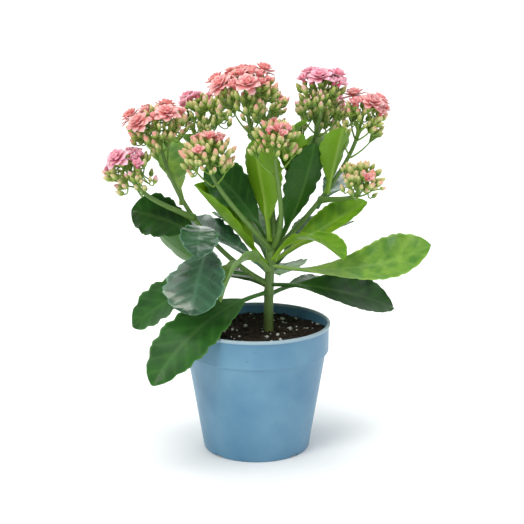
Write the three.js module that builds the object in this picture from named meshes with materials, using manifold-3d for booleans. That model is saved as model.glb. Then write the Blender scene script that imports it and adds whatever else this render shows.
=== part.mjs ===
// A potted flaming katy (kalanchoe with double flowers): a plastic grower's pot filled with potting
// soil, one branching stem, fleshy leaves with scalloped edges, and flat-topped heads of buds and
// open double flowers.
// Millimetres, +Z up. The origin is the centre of the pot's foot. +X is to the right and +Y to the
// back of the plant's best side. Azimuths are degrees from +X towards +Y.
import * as THREE from "three";
import Module from "manifold-3d";

const wasm = await Module();
wasm.setup();

// Driving dimensions of the pot
const potHeight = 92;
const rimRadius = 52.5;
const footRadius = 38;
const wall = 1.1;
const bandHeight = 21;
const bandStep = 2.2;
const bandTaper = 0.7;
const lipChamfer = 0.4;
const footRecess = 2;
const footRingWidth = 5;
const bossRadius = 9;
const drainHoles = 8;
const drainRadius = 3.4;
const drainCircle = 20;
const footNotches = 4;
const footNotchWidth = 7;
const footNotchDepth = 1.4;
const footChamfer = 0.8;
const stepRise = 0.6;
const drainSides = 6;
const potSides = 32;

// Driving dimensions of the soil
const soilBelowRim = 9;
const soilSides = potSides / 2;
const soilLumps = 0.9;
const soilRings = [0.78, 0.52, 0.26];
const clearance = 0.3;
const sliver = 0.03;

// Driving dimensions of the plant
const stemFoot = 3.7;
const stemTop = 3.1;
const stemSides = 8;
const stemSteps = 11;
const stemNodes = [0.62, 0.8, 0.88, 0.96];
const nodeSwelling = 0.5;
const nodeLength = 0.02;
const stalkSides = 5;
const stalkSteps = 4;
const stalkFoot = 2;
const stalkTop = 1.3;
const bladeThickness = 1.3;
const petioleThickness = 2.6;
const petioleHalfWidth = 1.9;
const petioleShare = 0.17;
const petioleNarrows = 0.6;
const thinFrom = 0.35;
const rollShare = 0.4;
const scallopStart = 0.2;
const scallopDepth = 0.1;
const bladeWidest = 1.6;
const bladeFullness = 0.62;

// Driving dimensions of the flower heads
const budDensity = 0.045;
const goldenAngle = 137.508;
const domeSag = 0.5;
const domeFlare = 0.75;
const budLength = 9.5;
const budRadius = 2.7;
const budStagger = 4;
const pedicelRadius = 0.75;
const rayRadius = 1.05;
const raysPerHead = 5;
const raySpread = 0.46;
const rayHeight = 0.5;
const middleRayRise = 2.4;
const flowerRadius = 9.8;
const flowerClear = 3.6;
const calyxDepth = 5;
const calyxHeight = 4;
const calyxRadius = 2.4;
const knobHeight = 4;
const knobRadius = 2;
const knotRadius = 1.4;
const tubeRadius = 1.4;
const coreRadius = 1.8;
const coreTop = 8.6;
const notchShare = 0.45;
const petalFillet = 0.1;
const petalsPerLayer = 5;
const pointed = [[-0.66, 0.88], [0, 1], [0.66, 0.88]];
const blunt = [[-0.55, 0.96], [0.55, 0.96]];
const petalLayers = [
  { radius: flowerRadius, base: 3.5, rise: -0.3, thickness: 0.65, turn: 0, outline: pointed },
  { radius: 8, base: 4.6, rise: 2.2, thickness: 0.8, turn: -36, outline: blunt },
  { radius: 5.4, base: 6.2, rise: 2.8, thickness: 1.2, turn: -72, outline: blunt },
];

const rad = THREE.MathUtils.degToRad;
const up = new THREE.Vector3(0, 0, 1);
const vec = (x, y, z) => new THREE.Vector3(x, y, z);

// The main stem, and the flower stalks that branch off it, each as [host, at, lean, top, tilt,
// reach]: where on its host it starts, its first handle, its upper end, how far its head's axis
// leans in X and Y, and the length of its last handle.
const mainStem = [vec(9, 0, 46), vec(9, 0, 80), vec(7, 0, 118), vec(12, 0, 156)];
const stalks = {
  centre: ["main", 0.98, [14, 0, 186], [-6, -8, 243], [-0.1, -0.08], 26],
  right: ["main", 0.97, [22, 6, 184], [44, 3, 240], [0.05, 0], 24],
  farRight: ["main", 0.87, [38, 8, 166], [70, 1, 225], [0.28, -0.05], 26],
  left: ["main", 0.67, [-28, 2, 138], [-65, -9, 218], [-0.2, -0.1], 40],
  lowLeft: ["left", 0.56, [-58, -14, 176], [-82, -22, 196], [-0.4, -0.3], 14],
  front: ["main", 0.89, [-2, -26, 164], [-31, -27, 206], [-0.15, -0.3], 16],
  midRight: ["main", 0.9, [24, -22, 166], [13, -26, 216], [0.05, -0.2], 18],
  lowRight: ["farRight", 0.45, [58, -10, 182], [69, -24, 190], [0.25, -0.3], 8],
  backLeft: ["main", 0.87, [-8, 22, 164], [-36, 38, 222], [-0.2, 0.2], 26],
  back: ["main", 0.92, [12, 26, 176], [6, 56, 225], [0, 0.3], 24],
  backRight: ["main", 0.86, [28, 24, 162], [44, 42, 222], [0.22, 0.2], 26],
};

// Each head's radius and height above its stalk, the turn of its first bud, and its open flowers
// as [share of the radius, azimuth].
const heads = {
  centre: {
    radius: 24,
    height: 30,
    turn: 10,
    flowers: [[0.86, -82], [0.86, 162], [0.62, 20], [0.86, -140], [0.75, 92]],
  },
  right: { radius: 18, height: 29, turn: 50, flowers: [[0.62, -100], [0.62, 20], [0.62, 140]] },
  farRight: { radius: 18, height: 29, turn: 90, flowers: [[0.62, -80], [0.62, 40], [0.62, 160]] },
  left: { radius: 23, height: 30, turn: 130, flowers: [[0.7, -48], [0.7, 170], [0.7, 60], [0.8, -120]] },
  lowLeft: { radius: 17, height: 24, turn: 170, flowers: [[0.4, -110]] },
  front: { radius: 20, height: 26, turn: 210, flowers: [] },
  midRight: { radius: 17, height: 25, turn: 250, flowers: [] },
  lowRight: { radius: 15, height: 23, turn: 290, flowers: [] },
  backLeft: { radius: 21, height: 30, turn: 330, flowers: [[0.5, 140]] },
  back: { radius: 19, height: 29, turn: 20, flowers: [[0.45, 80]] },
  backRight: { radius: 21, height: 30, turn: 70, flowers: [[0.5, 40]] },
};

// The large leaves, each as [host, at, azimuth, rise, droop, length, width, roll, cup, teeth]. rise
// is the angle above the horizon at the stem and droop how far the leaf bends down along its
// length, roll turns the blade about its rib, and cup lifts its edges. A leaf that is widest nearer
// to its middle or its tip, or that turns about its rib more slowly, adds its own widest and rollBy.
const leaves = {
  frontLeftLow: ["main", 0.62, -142, -3, 48, 110, 38, -27, 0.16, 5, 1.25],
  backRightLow: ["main", 0.61, 42, 12, 48, 92, 42, 0, 0.2, 5],
  rightLong: ["main", 0.79, -14, -7, -36, 112, 40, 46, 0.2, 5, 1.7, 0.95],
  leftRising: ["main", 0.82, -170, 52, 6, 74, 29, -20, 0.7, 4, 1.3],
  frontCurl: ["main", 0.86, -38, 58, 106, 66, 28, -6, 0.3, 4],
  leftHanging: ["main", 0.79, -130, 50, 138, 64, 25, 30, 0.35, 4, 1.3],
  backHigh: ["main", 0.82, 112, 38, 50, 84, 42, 0, 0.22, 5],
  tallRight: ["main", 0.955, -20, 62, -16, 74, 31, -36, 0.2, 5, 1.4],
  tallCentre: ["main", 0.985, -130, 82, 8, 70, 34, 0, 0.2, 4],
  centreLeft: ["main", 0.965, 176, 64, 28, 66, 36, -44, 0.2, 4],
  leftGlossy: ["left", 0.38, -106, -6, 66, 66, 48, 10, 0.14, 4],
  leftUpright: ["left", 0.4, 172, 30, 20, 58, 34, -52, 0.2, 4],
  leftNodding: ["left", 0.48, -92, 30, 88, 46, 27, -12, 0.2, 4],
  leftOval: ["left", 0.12, 168, 2, -46, 76, 28, 50, 0.2, 4],
  farLeftLow: ["left", 0.2, -174, -20, 22, 84, 42, -24, 0.16, 5],
  backLeftLow: ["main", 0.66, 134, 10, 44, 92, 44, 0, 0.18, 5],
  leftHigh: ["left", 0.66, 118, 60, 26, 58, 34, 10, 0.2, 4],
  rightGlossy: ["farRight", 0.4, 50, 36, 46, 60, 38, 0, 0.18, 4],
  rightRising: ["main", 0.83, 10, 34, 6, 76, 26, 30, 0.4, 5],
  rightLow: ["main", 0.67, 2, 0, 24, 88, 40, 24, 0.2, 5],
  backLow: ["main", 0.69, 84, 16, 54, 94, 45, 0, 0.18, 5],
  backLeftHigh: ["main", 0.765, 148, 34, 30, 84, 40, 0, 0.22, 5],
  backRightHigh: ["main", 0.78, 48, 34, 40, 86, 42, 0, 0.2, 5],
};

// The leaves that are still a light yellow-green
const youngLeaves = ["rightLong", "leftRising", "frontCurl", "leftHanging", "tallCentre", "rightRising"];

// The small leaves below the heads, which are one piece with the stem
const smallLeaves = [
  ["right", 0.36, -96, 74, 20, 50, 22, 0, 0.3, 3],
  ["farRight", 0.52, -60, 78, 18, 50, 24, 0, 0.3, 3],
  ["centre", 0.5, -12, 58, 16, 46, 21, 0, 0.3, 3],
  ["backLeft", 0.55, 150, 58, 30, 50, 22, 0, 0.3, 3],
  ["backRight", 0.55, 60, 58, 30, 50, 22, 0, 0.3, 3],
  ["back", 0.55, 100, 50, 30, 48, 22, 0, 0.3, 3],
];

// A number from 0 to 1 that depends only on its two arguments
function scatter(index, salt) {
  const value = Math.sin(index * 12.9898 + salt * 78.233) * 43758.5453;
  return value - Math.floor(value);
}

const mix = (a, b, share) => a + (b - a) * share;

function smoothStep(value) {
  const share = Math.min(1, Math.max(0, value));
  return share * share * (3 - 2 * share);
}

// A closed solid from points and triangles; faces that come out inwards are turned
function solidFrom(points, triangles) {
  const vertProperties = new Float32Array(points.flatMap((p) => [p.x, p.y, p.z]));
  const build = (corners) => {
    const triVerts = new Uint32Array(corners.flat());
    return new wasm.Manifold(new wasm.Mesh({ numProp: 3, vertProperties, triVerts }));
  };
  const made = build(triangles);
  return made.volume() > 0 ? made : build(triangles.map(([a, b, c]) => [a, c, b]));
}

// Solids grown together as one piece, without the slivers where their faces cross
function grown(pieces) {
  return wasm.Manifold.union(pieces).asOriginal().simplify(sliver);
}

// The triangles between two rings that start at the given corners. One ring has as many corners as
// the other, or a whole number of times as many, which then fan out from each corner of the other.
function band(from, fromCount, to, toCount) {
  if (fromCount > toCount) return band(to, toCount, from, fromCount).map(([a, b, c]) => [a, c, b]);
  const fan = toCount / fromCount;
  const triangles = [];
  for (let j = 0; j < fromCount; j++) {
    for (let k = 0; k < fan; k++) {
      triangles.push([from + j, to + ((j * fan + k + 1) % toCount), to + j * fan + k]);
    }
    if (fromCount > 1) {
      triangles.push([from + j, from + ((j + 1) % fromCount), to + (((j + 1) * fan) % toCount)]);
    }
  }
  return triangles;
}

// The closed skin over a row of rings, of which the last may be a point
function loft(rings) {
  const starts = [];
  let count = 0;
  for (const ring of rings) {
    starts.push(count);
    count += ring.length;
  }
  const triangles = [];
  for (let i = 0; i + 1 < rings.length; i++) {
    triangles.push(...band(starts[i], rings[i].length, starts[i + 1], rings[i + 1].length));
  }
  for (let j = 1; j + 1 < rings[0].length; j++) triangles.push([0, j + 1, j]);
  const last = starts.at(-1);
  for (let j = 1; j + 1 < rings.at(-1).length; j++) triangles.push([last, last + j, last + j + 1]);
  return solidFrom(rings.flat(), triangles);
}

// The ring of a given radius round a point, square to a direction. The rings of one piece start
// alike, from a direction that is far from its own.
function ringAt(centre, direction, radius, sides, across = vec(0, 1, 0)) {
  const side = across.clone().cross(direction).normalize();
  const other = direction.clone().cross(side).normalize();
  return Array.from({ length: sides }, (_, j) => {
    const angle = (2 * Math.PI * j) / sides;
    return centre
      .clone()
      .addScaledVector(side, radius * Math.cos(angle))
      .addScaledVector(other, radius * Math.sin(angle));
  });
}

// A round stem along a curve
function tube(curve, radiusAt, sides, steps) {
  const rings = [];
  for (let i = 0; i <= steps; i++) {
    const share = i / steps;
    rings.push(ringAt(curve.getPoint(share), curve.getTangent(share), radiusAt(share), sides));
  }
  return loft(rings);
}

// A thin solid between two grids of points with the same rows and columns, whose two faces are
// split into triangles alike
function slab(top, bottom) {
  const rows = top.length;
  const columns = top[0].length;
  const points = [...top.flat(), ...bottom.flat()];
  const upper = (i, j) => i * columns + j;
  const lower = (i, j) => rows * columns + i * columns + j;
  const triangles = [];
  for (let i = 0; i + 1 < rows; i++) {
    for (let j = 0; j + 1 < columns; j++) {
      const quad = [[i, j], [i + 1, j], [i + 1, j + 1], [i, j + 1]];
      const split = j < (columns - 1) / 2 ? [[0, 1, 2], [0, 2, 3]] : [[0, 1, 3], [3, 1, 2]];
      for (const [a, b, c] of split) {
        triangles.push([upper(...quad[a]), upper(...quad[b]), upper(...quad[c])]);
        triangles.push([lower(...quad[a]), lower(...quad[c]), lower(...quad[b])]);
      }
    }
  }
  const rim = [];
  for (let j = 0; j < columns; j++) rim.push([0, j]);
  for (let i = 1; i < rows; i++) rim.push([i, columns - 1]);
  for (let j = columns - 2; j >= 0; j--) rim.push([rows - 1, j]);
  for (let i = rows - 2; i > 0; i--) rim.push([i, 0]);
  rim.forEach(([i, j], k) => {
    const [m, n] = rim[(k + 1) % rim.length];
    triangles.push([upper(i, j), upper(m, n), lower(m, n)]);
    triangles.push([upper(i, j), lower(m, n), lower(i, j)]);
  });
  return solidFrom(points, triangles);
}

const curves = { main: new THREE.CubicBezierCurve3(...mainStem) };
const axisOf = (tilt) => vec(tilt[0], tilt[1], 1).normalize();
for (const [name, [host, at, lean, top, tilt, reach]] of Object.entries(stalks)) {
  const end = vec(...top);
  const below = end.clone().addScaledVector(axisOf(tilt), -reach);
  curves[name] = new THREE.CubicBezierCurve3(curves[host].getPoint(at), vec(...lean), below, end);
}

// The main stem swells where its leaf pairs grow
function stemRadius(share) {
  const swell = stemNodes.reduce((sum, node) => sum + Math.exp(-(((share - node) / nodeLength) ** 2)), 0);
  return mix(stemFoot, stemTop, share) + nodeSwelling * Math.min(1, swell);
}

const stalkRadius = (share) => mix(stalkFoot, stalkTop, share);

// The leaf's rib is an arc in its own upright plane. Each row of the blade is square to the rib:
// three points, with the edges lifted by the cup. sunk is how deep its foot lies in the stem.
function leafSolid(leaf, sunk = -clearance) {
  const [host, at, azimuth, rise, droop, length, width, roll, cup, teeth] = leaf;
  const [widest = bladeWidest, rollBy = rollShare] = leaf.slice(10);
  const shares = [0, petioleShare * 0.5, petioleShare];
  const blade = (share) => petioleShare + (1 - petioleShare) * share;
  shares.push(blade(scallopStart * 0.55));
  for (let k = 0; k <= 2 * teeth; k++) shares.push(blade(mix(scallopStart, 1, k / (2 * teeth))));
  const start = rad(rise);
  const bend = rad(droop);
  const top = [];
  const bottom = [];
  for (const share of shares) {
    const angle = start - bend * share;
    const middle = vec(
      (length * (Math.sin(start) - Math.sin(angle))) / bend,
      0,
      (length * (Math.cos(angle) - Math.cos(start))) / bend,
    );
    const along = vec(Math.cos(angle), 0, Math.sin(angle));
    const side = vec(0, 1, 0).applyAxisAngle(along, rad(roll) * smoothStep(share / rollBy));
    const lift = along.clone().cross(side);
    const [halfWidth, halfThickness] = leafSection(width, teeth, widest, share);
    const row = [-1, 0, 1].map((t) =>
      middle
        .clone()
        .addScaledVector(side, t * halfWidth)
        .addScaledVector(lift, cup * halfWidth * t * t),
    );
    top.push(row.map((p) => p.clone().addScaledVector(lift, halfThickness)));
    bottom.push(row.map((p) => p.clone().addScaledVector(lift, -halfThickness)));
  }
  const hostRadius = host === "main" ? stemRadius(at) : stalkRadius(at);
  const across = Math.sin(curves[host].getTangent(at).angleTo(onCircle(1, 0, azimuth)));
  const out = (hostRadius - sunk) / across + (Math.abs(Math.sin(start)) * petioleThickness) / 2;
  const foot = curves[host].getPoint(at);
  return slab(top, bottom).translate([out, 0, 0]).rotate([0, 0, azimuth]).translate(foot.toArray());
}

// Half the width and half the thickness of a leaf at a share of its length. The blade is widest
// past its middle, and its edge has rounded teeth between sharp notches.
function leafSection(width, teeth, widest, share) {
  const onBlade = Math.max(0, (share - petioleShare) / (1 - petioleShare));
  const full = (width / 2) * Math.sin(Math.PI * Math.min(1, onBlade) ** widest) ** bladeFullness;
  const tooth = (teeth * (onBlade - scallopStart)) / (1 - scallopStart);
  const notch = onBlade > scallopStart ? scallopDepth * (1 - Math.abs(Math.sin(Math.PI * tooth))) : 0;
  const stalk = petioleHalfWidth * (1 - petioleNarrows * smoothStep(onBlade));
  const thickness = mix(petioleThickness, bladeThickness, smoothStep(onBlade / thinFrom));
  return [Math.max(stalk, full * (1 - notch) + stalk * (1 - onBlade)), thickness / 2];
}

// The frame of a head: its axis, and two directions square to it
function headFrame(name) {
  const axis = axisOf(stalks[name][4]);
  const right = vec(1, 0, 0).addScaledVector(axis, -axis.x).normalize();
  return { foot: curves[name].getPoint(1), axis, right, away: axis.clone().cross(right) };
}

// A place on a head's dome, with the direction in which it faces
function onDome(name, share, azimuth, drop) {
  const { foot, axis, right, away } = headFrame(name);
  const { radius, height } = heads[name];
  const outward = right
    .clone()
    .multiplyScalar(Math.cos(rad(azimuth)))
    .addScaledVector(away, Math.sin(rad(azimuth)));
  const facing = axis.clone().addScaledVector(outward, domeFlare * share).normalize();
  const place = foot
    .clone()
    .addScaledVector(outward, share * radius)
    .addScaledVector(axis, height - domeSag * radius * share * share - drop);
  return { place, facing };
}

// The buds of a head stand in a golden-angle spiral, apart from where a flower is open
function budsOf(name, step) {
  const { radius, turn, flowers } = heads[name];
  const count = Math.round(budDensity * radius ** 2);
  const buds = [];
  for (let i = 0; i < count; i += step) {
    const share = Math.sqrt((i + 0.5) / count);
    const azimuth = turn + goldenAngle * i;
    const crowded = flowers.some(([flowerShare, flowerAzimuth]) => {
      const apart = Math.hypot(
        radius * (share * Math.cos(rad(azimuth)) - flowerShare * Math.cos(rad(flowerAzimuth))),
        radius * (share * Math.sin(rad(azimuth)) - flowerShare * Math.sin(rad(flowerAzimuth))),
      );
      return apart < flowerRadius + flowerClear;
    });
    if (crowded) continue;
    const { place, facing } = onDome(name, share, azimuth, budStagger * scatter(i, turn));
    buds.push({ place, facing, size: mix(0.8, 1.1, scatter(i, turn + 1)) });
  }
  return buds;
}

// The ends of a head's rays: one in the middle and the others in a circle
function raysOf(name) {
  const { radius, height, turn } = heads[name];
  const drop = height * (1 - rayHeight);
  const middle = onDome(name, 0, 0, drop - middleRayRise).place;
  const around = Array.from({ length: raysPerHead }, (_, k) => {
    const azimuth = turn + (360 * k) / raysPerHead;
    return onDome(name, raySpread, azimuth, drop - domeSag * radius * raySpread ** 2).place;
  });
  return [middle, ...around];
}

function nearest(point, places) {
  return places.reduce((a, b) => (b.distanceTo(point) < a.distanceTo(point) ? b : a));
}

// A direction square to two others. Where those are nearly the same, it is only far from them.
function awayFrom(one, other) {
  const square = one.clone().cross(other);
  if (square.length() > 0.1) return square.normalize();
  return Math.abs(one.y) < 0.7 ? vec(0, 1, 0) : vec(1, 0, 0);
}

function stick(from, to, fromRadius, toRadius, sides) {
  const direction = to.clone().sub(from).normalize();
  const across = awayFrom(direction, direction);
  const ring = (centre, radius) => ringAt(centre, direction, radius, sides, across);
  return loft([ring(from, fromRadius), ring(to, toRadius)]);
}

// A head's green piece: rays out of a knob, pedicels, closed buds, and the cups that hold its open
// flowers. The pedicels of a ray start in a small knot at its end.
function headSolid(name) {
  const { foot, axis } = headFrame(name);
  const rays = raysOf(name);
  const onAxis = (height) => foot.clone().addScaledVector(axis, height);
  const fork = onAxis(knobHeight * 0.6);
  const knobFoot = ringAt(onAxis(clearance), axis, stalkTop, 5);
  const pieces = [loft([knobFoot, ringAt(fork, axis, knobRadius, 5), [onAxis(knobHeight)]])];
  const knot = wasm.Manifold.sphere(knotRadius, 4);
  for (const end of rays) {
    pieces.push(stick(fork, end, rayRadius, pedicelRadius, 3), knot.translate(end.toArray()));
  }
  for (const { place, facing, size } of budsOf(name, 2)) {
    const root = place.clone().addScaledVector(facing, -budLength * size);
    const belly = root.clone().lerp(place, 0.5);
    const start = nearest(root, rays);
    const along = root.clone().sub(start).normalize();
    const across = awayFrom(along, facing);
    pieces.push(
      loft([
        ringAt(start, along, pedicelRadius, 3, across),
        ringAt(root, along.clone().add(facing).normalize(), pedicelRadius, 3, across),
        ringAt(belly, facing, budRadius * size, 6, across),
        [place],
      ]),
    );
  }
  for (const [share, azimuth] of heads[name].flowers) {
    const { place, facing } = onDome(name, share, azimuth, 0);
    const cup = place.clone().addScaledVector(facing, -calyxDepth - clearance);
    const root = cup.clone().addScaledVector(facing, -calyxHeight);
    const start = nearest(root, rays);
    const along = root.clone().sub(start).normalize();
    const across = awayFrom(along, facing);
    pieces.push(
      loft([
        ringAt(start, along, pedicelRadius, 3, across),
        ringAt(root, along.clone().add(facing).normalize(), pedicelRadius, 3, across),
        ringAt(cup, facing, calyxRadius, 6, across),
      ]),
    );
  }
  return grown(pieces);
}

// One double flower, facing +Z with its tube's foot at the origin. Each layer of petals is a star
// whose notches reach nearly to the middle, and the layers stand up more towards the top. A petal's
// outline is a list of [share of the half pitch, share of the radius].
function flowerSolid() {
  const half = 180 / petalsPerLayer;
  const middles = (turn) => Array.from({ length: petalsPerLayer }, (_, k) => turn + 2 * half * k);
  const core = (height, turn) => middles(turn).map((azimuth) => onCircle(coreRadius, height, azimuth));
  const rings = [middles(0).map((azimuth) => onCircle(tubeRadius, 0, azimuth))];
  for (const { radius, base, rise, thickness, turn, outline } of petalLayers) {
    const petal = (azimuth, height) =>
      outline.map(([aside, out]) => onCircle(out * radius, height + out * rise, azimuth + aside * half));
    const star = (height) =>
      middles(turn).flatMap((azimuth) => [
        onCircle(notchShare * radius, height, azimuth - half),
        ...petal(azimuth, height),
      ]);
    rings.push(core(base - thickness - petalFillet, turn), star(base - thickness));
    rings.push(star(base), core(base + petalFillet, turn));
  }
  return loft([...rings, [vec(0, 0, coreTop)]]);
}

function onCircle(radius, height, azimuth) {
  return vec(radius * Math.cos(rad(azimuth)), radius * Math.sin(rad(azimuth)), height);
}

// The pot's profile, from the middle of its foot, up the outside, over the rim and down the inside
function potSolid() {
  const stepHeight = potHeight - bandHeight;
  const bodyRadius = rimRadius - bandTaper - bandStep;
  const ringRadius = footRadius - footRingWidth;
  const floor = footRecess + wall;
  const outline = [
    [0, 0],
    [bossRadius, 0],
    [bossRadius, footRecess],
    [ringRadius, footRecess],
    [ringRadius, 0],
    [footRadius - footChamfer, 0],
    [footRadius, footChamfer],
    [bodyRadius, stepHeight],
    [rimRadius - bandTaper, stepHeight + stepRise],
    [rimRadius, potHeight - lipChamfer],
    [rimRadius - lipChamfer, potHeight],
    [rimRadius - wall, potHeight],
    [rimRadius - wall - bandTaper, stepHeight + wall + stepRise],
    [bodyRadius - wall, stepHeight + wall],
    [footRadius - wall, floor],
    [0, floor],
  ].map(([x, y]) => new THREE.Vector2(x, y));
  let pot = fromGeometry(new THREE.LatheGeometry(outline, potSides).rotateX(Math.PI / 2));
  for (let k = 0; k < drainHoles; k++) {
    const hole = new THREE.CylinderGeometry(drainRadius, drainRadius, 4 * floor, drainSides);
    const { x, y } = onCircle(drainCircle, 0, (360 * k) / drainHoles);
    pot = pot.subtract(fromGeometry(hole.rotateX(Math.PI / 2).translate(x, y, 0)));
  }
  for (let k = 0; k < footNotches; k++) {
    const notch = new THREE.BoxGeometry(3 * footRingWidth, footNotchWidth, 2 * footNotchDepth);
    notch.translate(footRadius - footRingWidth / 2, 0, 0).rotateZ((2 * Math.PI * (k + 0.5)) / footNotches);
    pot = pot.subtract(fromGeometry(notch));
  }
  return pot;
}

// The soil fills the pot to below the rim. Its top is uneven, and the stem stands in a hole in it.
function soilSolid() {
  const inside = clearance + wall;
  const stepHeight = potHeight - bandHeight + wall;
  const bodyRadius = rimRadius - bandTaper - bandStep - inside;
  const bandRadius = rimRadius - bandTaper - inside;
  const topHeight = potHeight - soilBelowRim;
  const profile = [
    [footRadius - inside, footRecess + wall + clearance],
    [bodyRadius, stepHeight],
    [bodyRadius, stepHeight + 2 * clearance],
    [bandRadius, stepHeight + stepRise + 2 * clearance],
    [bandRadius, topHeight],
  ];
  const rings = profile.map(([radius, height]) => soilRing(radius, () => height));
  for (const share of soilRings) {
    rings.push(soilRing(share * rimRadius, (x, y) => topHeight + soilLumps * lump(x, y)));
  }
  rings.push([vec(0, 0, topHeight + soilLumps)]);
  const [foot, ...rest] = mainStem;
  const seat = new THREE.CubicBezierCurve3(foot.clone().addScaledVector(up, -clearance), ...rest);
  return loft(rings).subtract(tube(seat, (share) => stemRadius(share) + clearance, stemSides, stemSteps));
}

function lump(x, y) {
  return 1 + Math.sin(x / 5.1 + 1) * Math.cos(y / 4.3) + 0.6 * Math.sin((x + y) / 2.9);
}

function soilRing(radius, heightAt) {
  return Array.from({ length: soilSides }, (_, j) => {
    const { x, y } = onCircle(radius, 0, (360 * j) / soilSides);
    return vec(x, y, heightAt(x, y));
  });
}

// A three.js geometry as a solid, with its shared corners merged by place
function fromGeometry(geometry) {
  const position = (geometry.index ? geometry.toNonIndexed() : geometry).getAttribute("position");
  const found = new Map();
  const points = [];
  const corners = [];
  for (let i = 0; i < position.count; i++) {
    const point = vec().fromBufferAttribute(position, i);
    const key = point.toArray().map((value) => Math.round(value * 1e4)).join();
    if (!found.has(key)) found.set(key, points.push(point) - 1);
    corners.push(found.get(key));
  }
  const triangles = [];
  for (let i = 0; i < corners.length; i += 3) {
    const [a, b, c] = corners.slice(i, i + 3);
    if (a !== b && b !== c && c !== a) triangles.push([a, b, c]);
  }
  return solidFrom(points, triangles);
}

function toGeometry(solid) {
  const { vertProperties, triVerts } = solid.getMesh();
  const geometry = new THREE.BufferGeometry();
  geometry.setAttribute("position", new THREE.BufferAttribute(new Float32Array(vertProperties), 3));
  geometry.setIndex(new THREE.BufferAttribute(new Uint32Array(triVerts), 1));
  geometry.computeVertexNormals();
  return geometry;
}

// The main stem, its stalks and the small leaves on them, grown as one piece
function stemSolid() {
  const main = tube(curves.main, stemRadius, stemSides, stemSteps);
  const stalkTube = (name) => tube(curves[name], stalkRadius, stalkSides, stalkSteps);
  const small = smallLeaves.map((leaf) => leafSolid(leaf, stalkTop));
  return grown([main, ...Object.keys(stalks).map(stalkTube), ...small]);
}

const plastic = { color: 0x719eb9, roughness: 0.45, metalness: 0 };
const peat = { color: 0x25301c, roughness: 0.95, metalness: 0 };
const stemGreen = { color: 0x6e8d5f, roughness: 0.5, metalness: 0 };
const leafGreen = { color: 0x427136, roughness: 0.4, metalness: 0 };
const youngGreen = { color: 0x87aa51, roughness: 0.4, metalness: 0 };
const budCream = { color: 0xa9b56a, roughness: 0.6, metalness: 0 };
const petalPink = { color: 0xea9794, roughness: 0.6, metalness: 0 };
const petalSalmon = { color: 0xcf9e89, roughness: 0.6, metalness: 0 };

const plant = new THREE.Group();
function add(name, solid, finish) {
  const mesh = new THREE.Mesh(toGeometry(solid), new THREE.MeshStandardMaterial(finish));
  mesh.name = name;
  plant.add(mesh);
  return mesh;
}

add("pot", potSolid(), plastic);
add("potting_soil", soilSolid(), peat);
add("stem", stemSolid(), stemGreen);
for (const [name, leaf] of Object.entries(leaves)) {
  add("leaf_" + name, leafSolid(leaf), youngLeaves.includes(name) ? youngGreen : leafGreen);
}

const flower = flowerSolid();
for (const name of Object.keys(heads)) {
  add("head_" + name, headSolid(name), budCream);
  heads[name].flowers.forEach(([share, azimuth], k) => {
    const { place, facing } = onDome(name, share, azimuth, 0);
    const finish = name === "farRight" ? petalSalmon : petalPink;
    const mesh = add("flower_" + name + "_" + (k + 1), flower, finish);
    mesh.position.copy(place.addScaledVector(facing, -calyxDepth));
    mesh.quaternion.setFromUnitVectors(up, facing);
  });
}

export default plant;
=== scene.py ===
import bpy
import numpy as np
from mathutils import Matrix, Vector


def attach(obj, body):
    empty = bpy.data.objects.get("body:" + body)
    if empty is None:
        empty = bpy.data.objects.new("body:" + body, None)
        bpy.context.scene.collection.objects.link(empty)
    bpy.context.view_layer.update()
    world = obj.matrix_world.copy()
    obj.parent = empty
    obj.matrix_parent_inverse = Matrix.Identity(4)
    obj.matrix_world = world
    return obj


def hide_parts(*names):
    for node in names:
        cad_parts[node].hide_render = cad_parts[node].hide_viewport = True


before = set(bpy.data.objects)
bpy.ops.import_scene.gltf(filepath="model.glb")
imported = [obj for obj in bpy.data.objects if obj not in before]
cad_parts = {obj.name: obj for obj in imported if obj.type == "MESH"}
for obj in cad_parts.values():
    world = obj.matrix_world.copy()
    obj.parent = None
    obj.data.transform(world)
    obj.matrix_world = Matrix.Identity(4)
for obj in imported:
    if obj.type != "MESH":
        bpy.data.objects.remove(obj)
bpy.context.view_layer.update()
mm = 0.001
print("frame loaded")

# The plant's own measures in millimetres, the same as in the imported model
stem = {
    "line": [(9, 0, 46), (9, 0, 80), (7, 0, 118), (12, 0, 156)],  # end, handle, handle and end
    "foot": 3.7, "top": 3.1,  # its radius at both ends
    "nodes": [0.62, 0.8, 0.88, 0.96], "swelling": 0.5, "nodeLength": 0.02,
    "stalkFoot": 2, "stalkTop": 1.3,
    "sides": 24, "rows": 110, "stalkSides": 14, "stalkRows": 40,
    "flare": 0.9, "flareLength": 5,  # how a stalk widens where it leaves its host
    "ripples": 0.036, "corkTo": 107, "corkOver": 24, "corkTint": 0.55,  # the foot is corky up to there
    "green": "#4b6f28", "pale": "#6f9146", "cork": "#6c6a3c",
}

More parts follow.
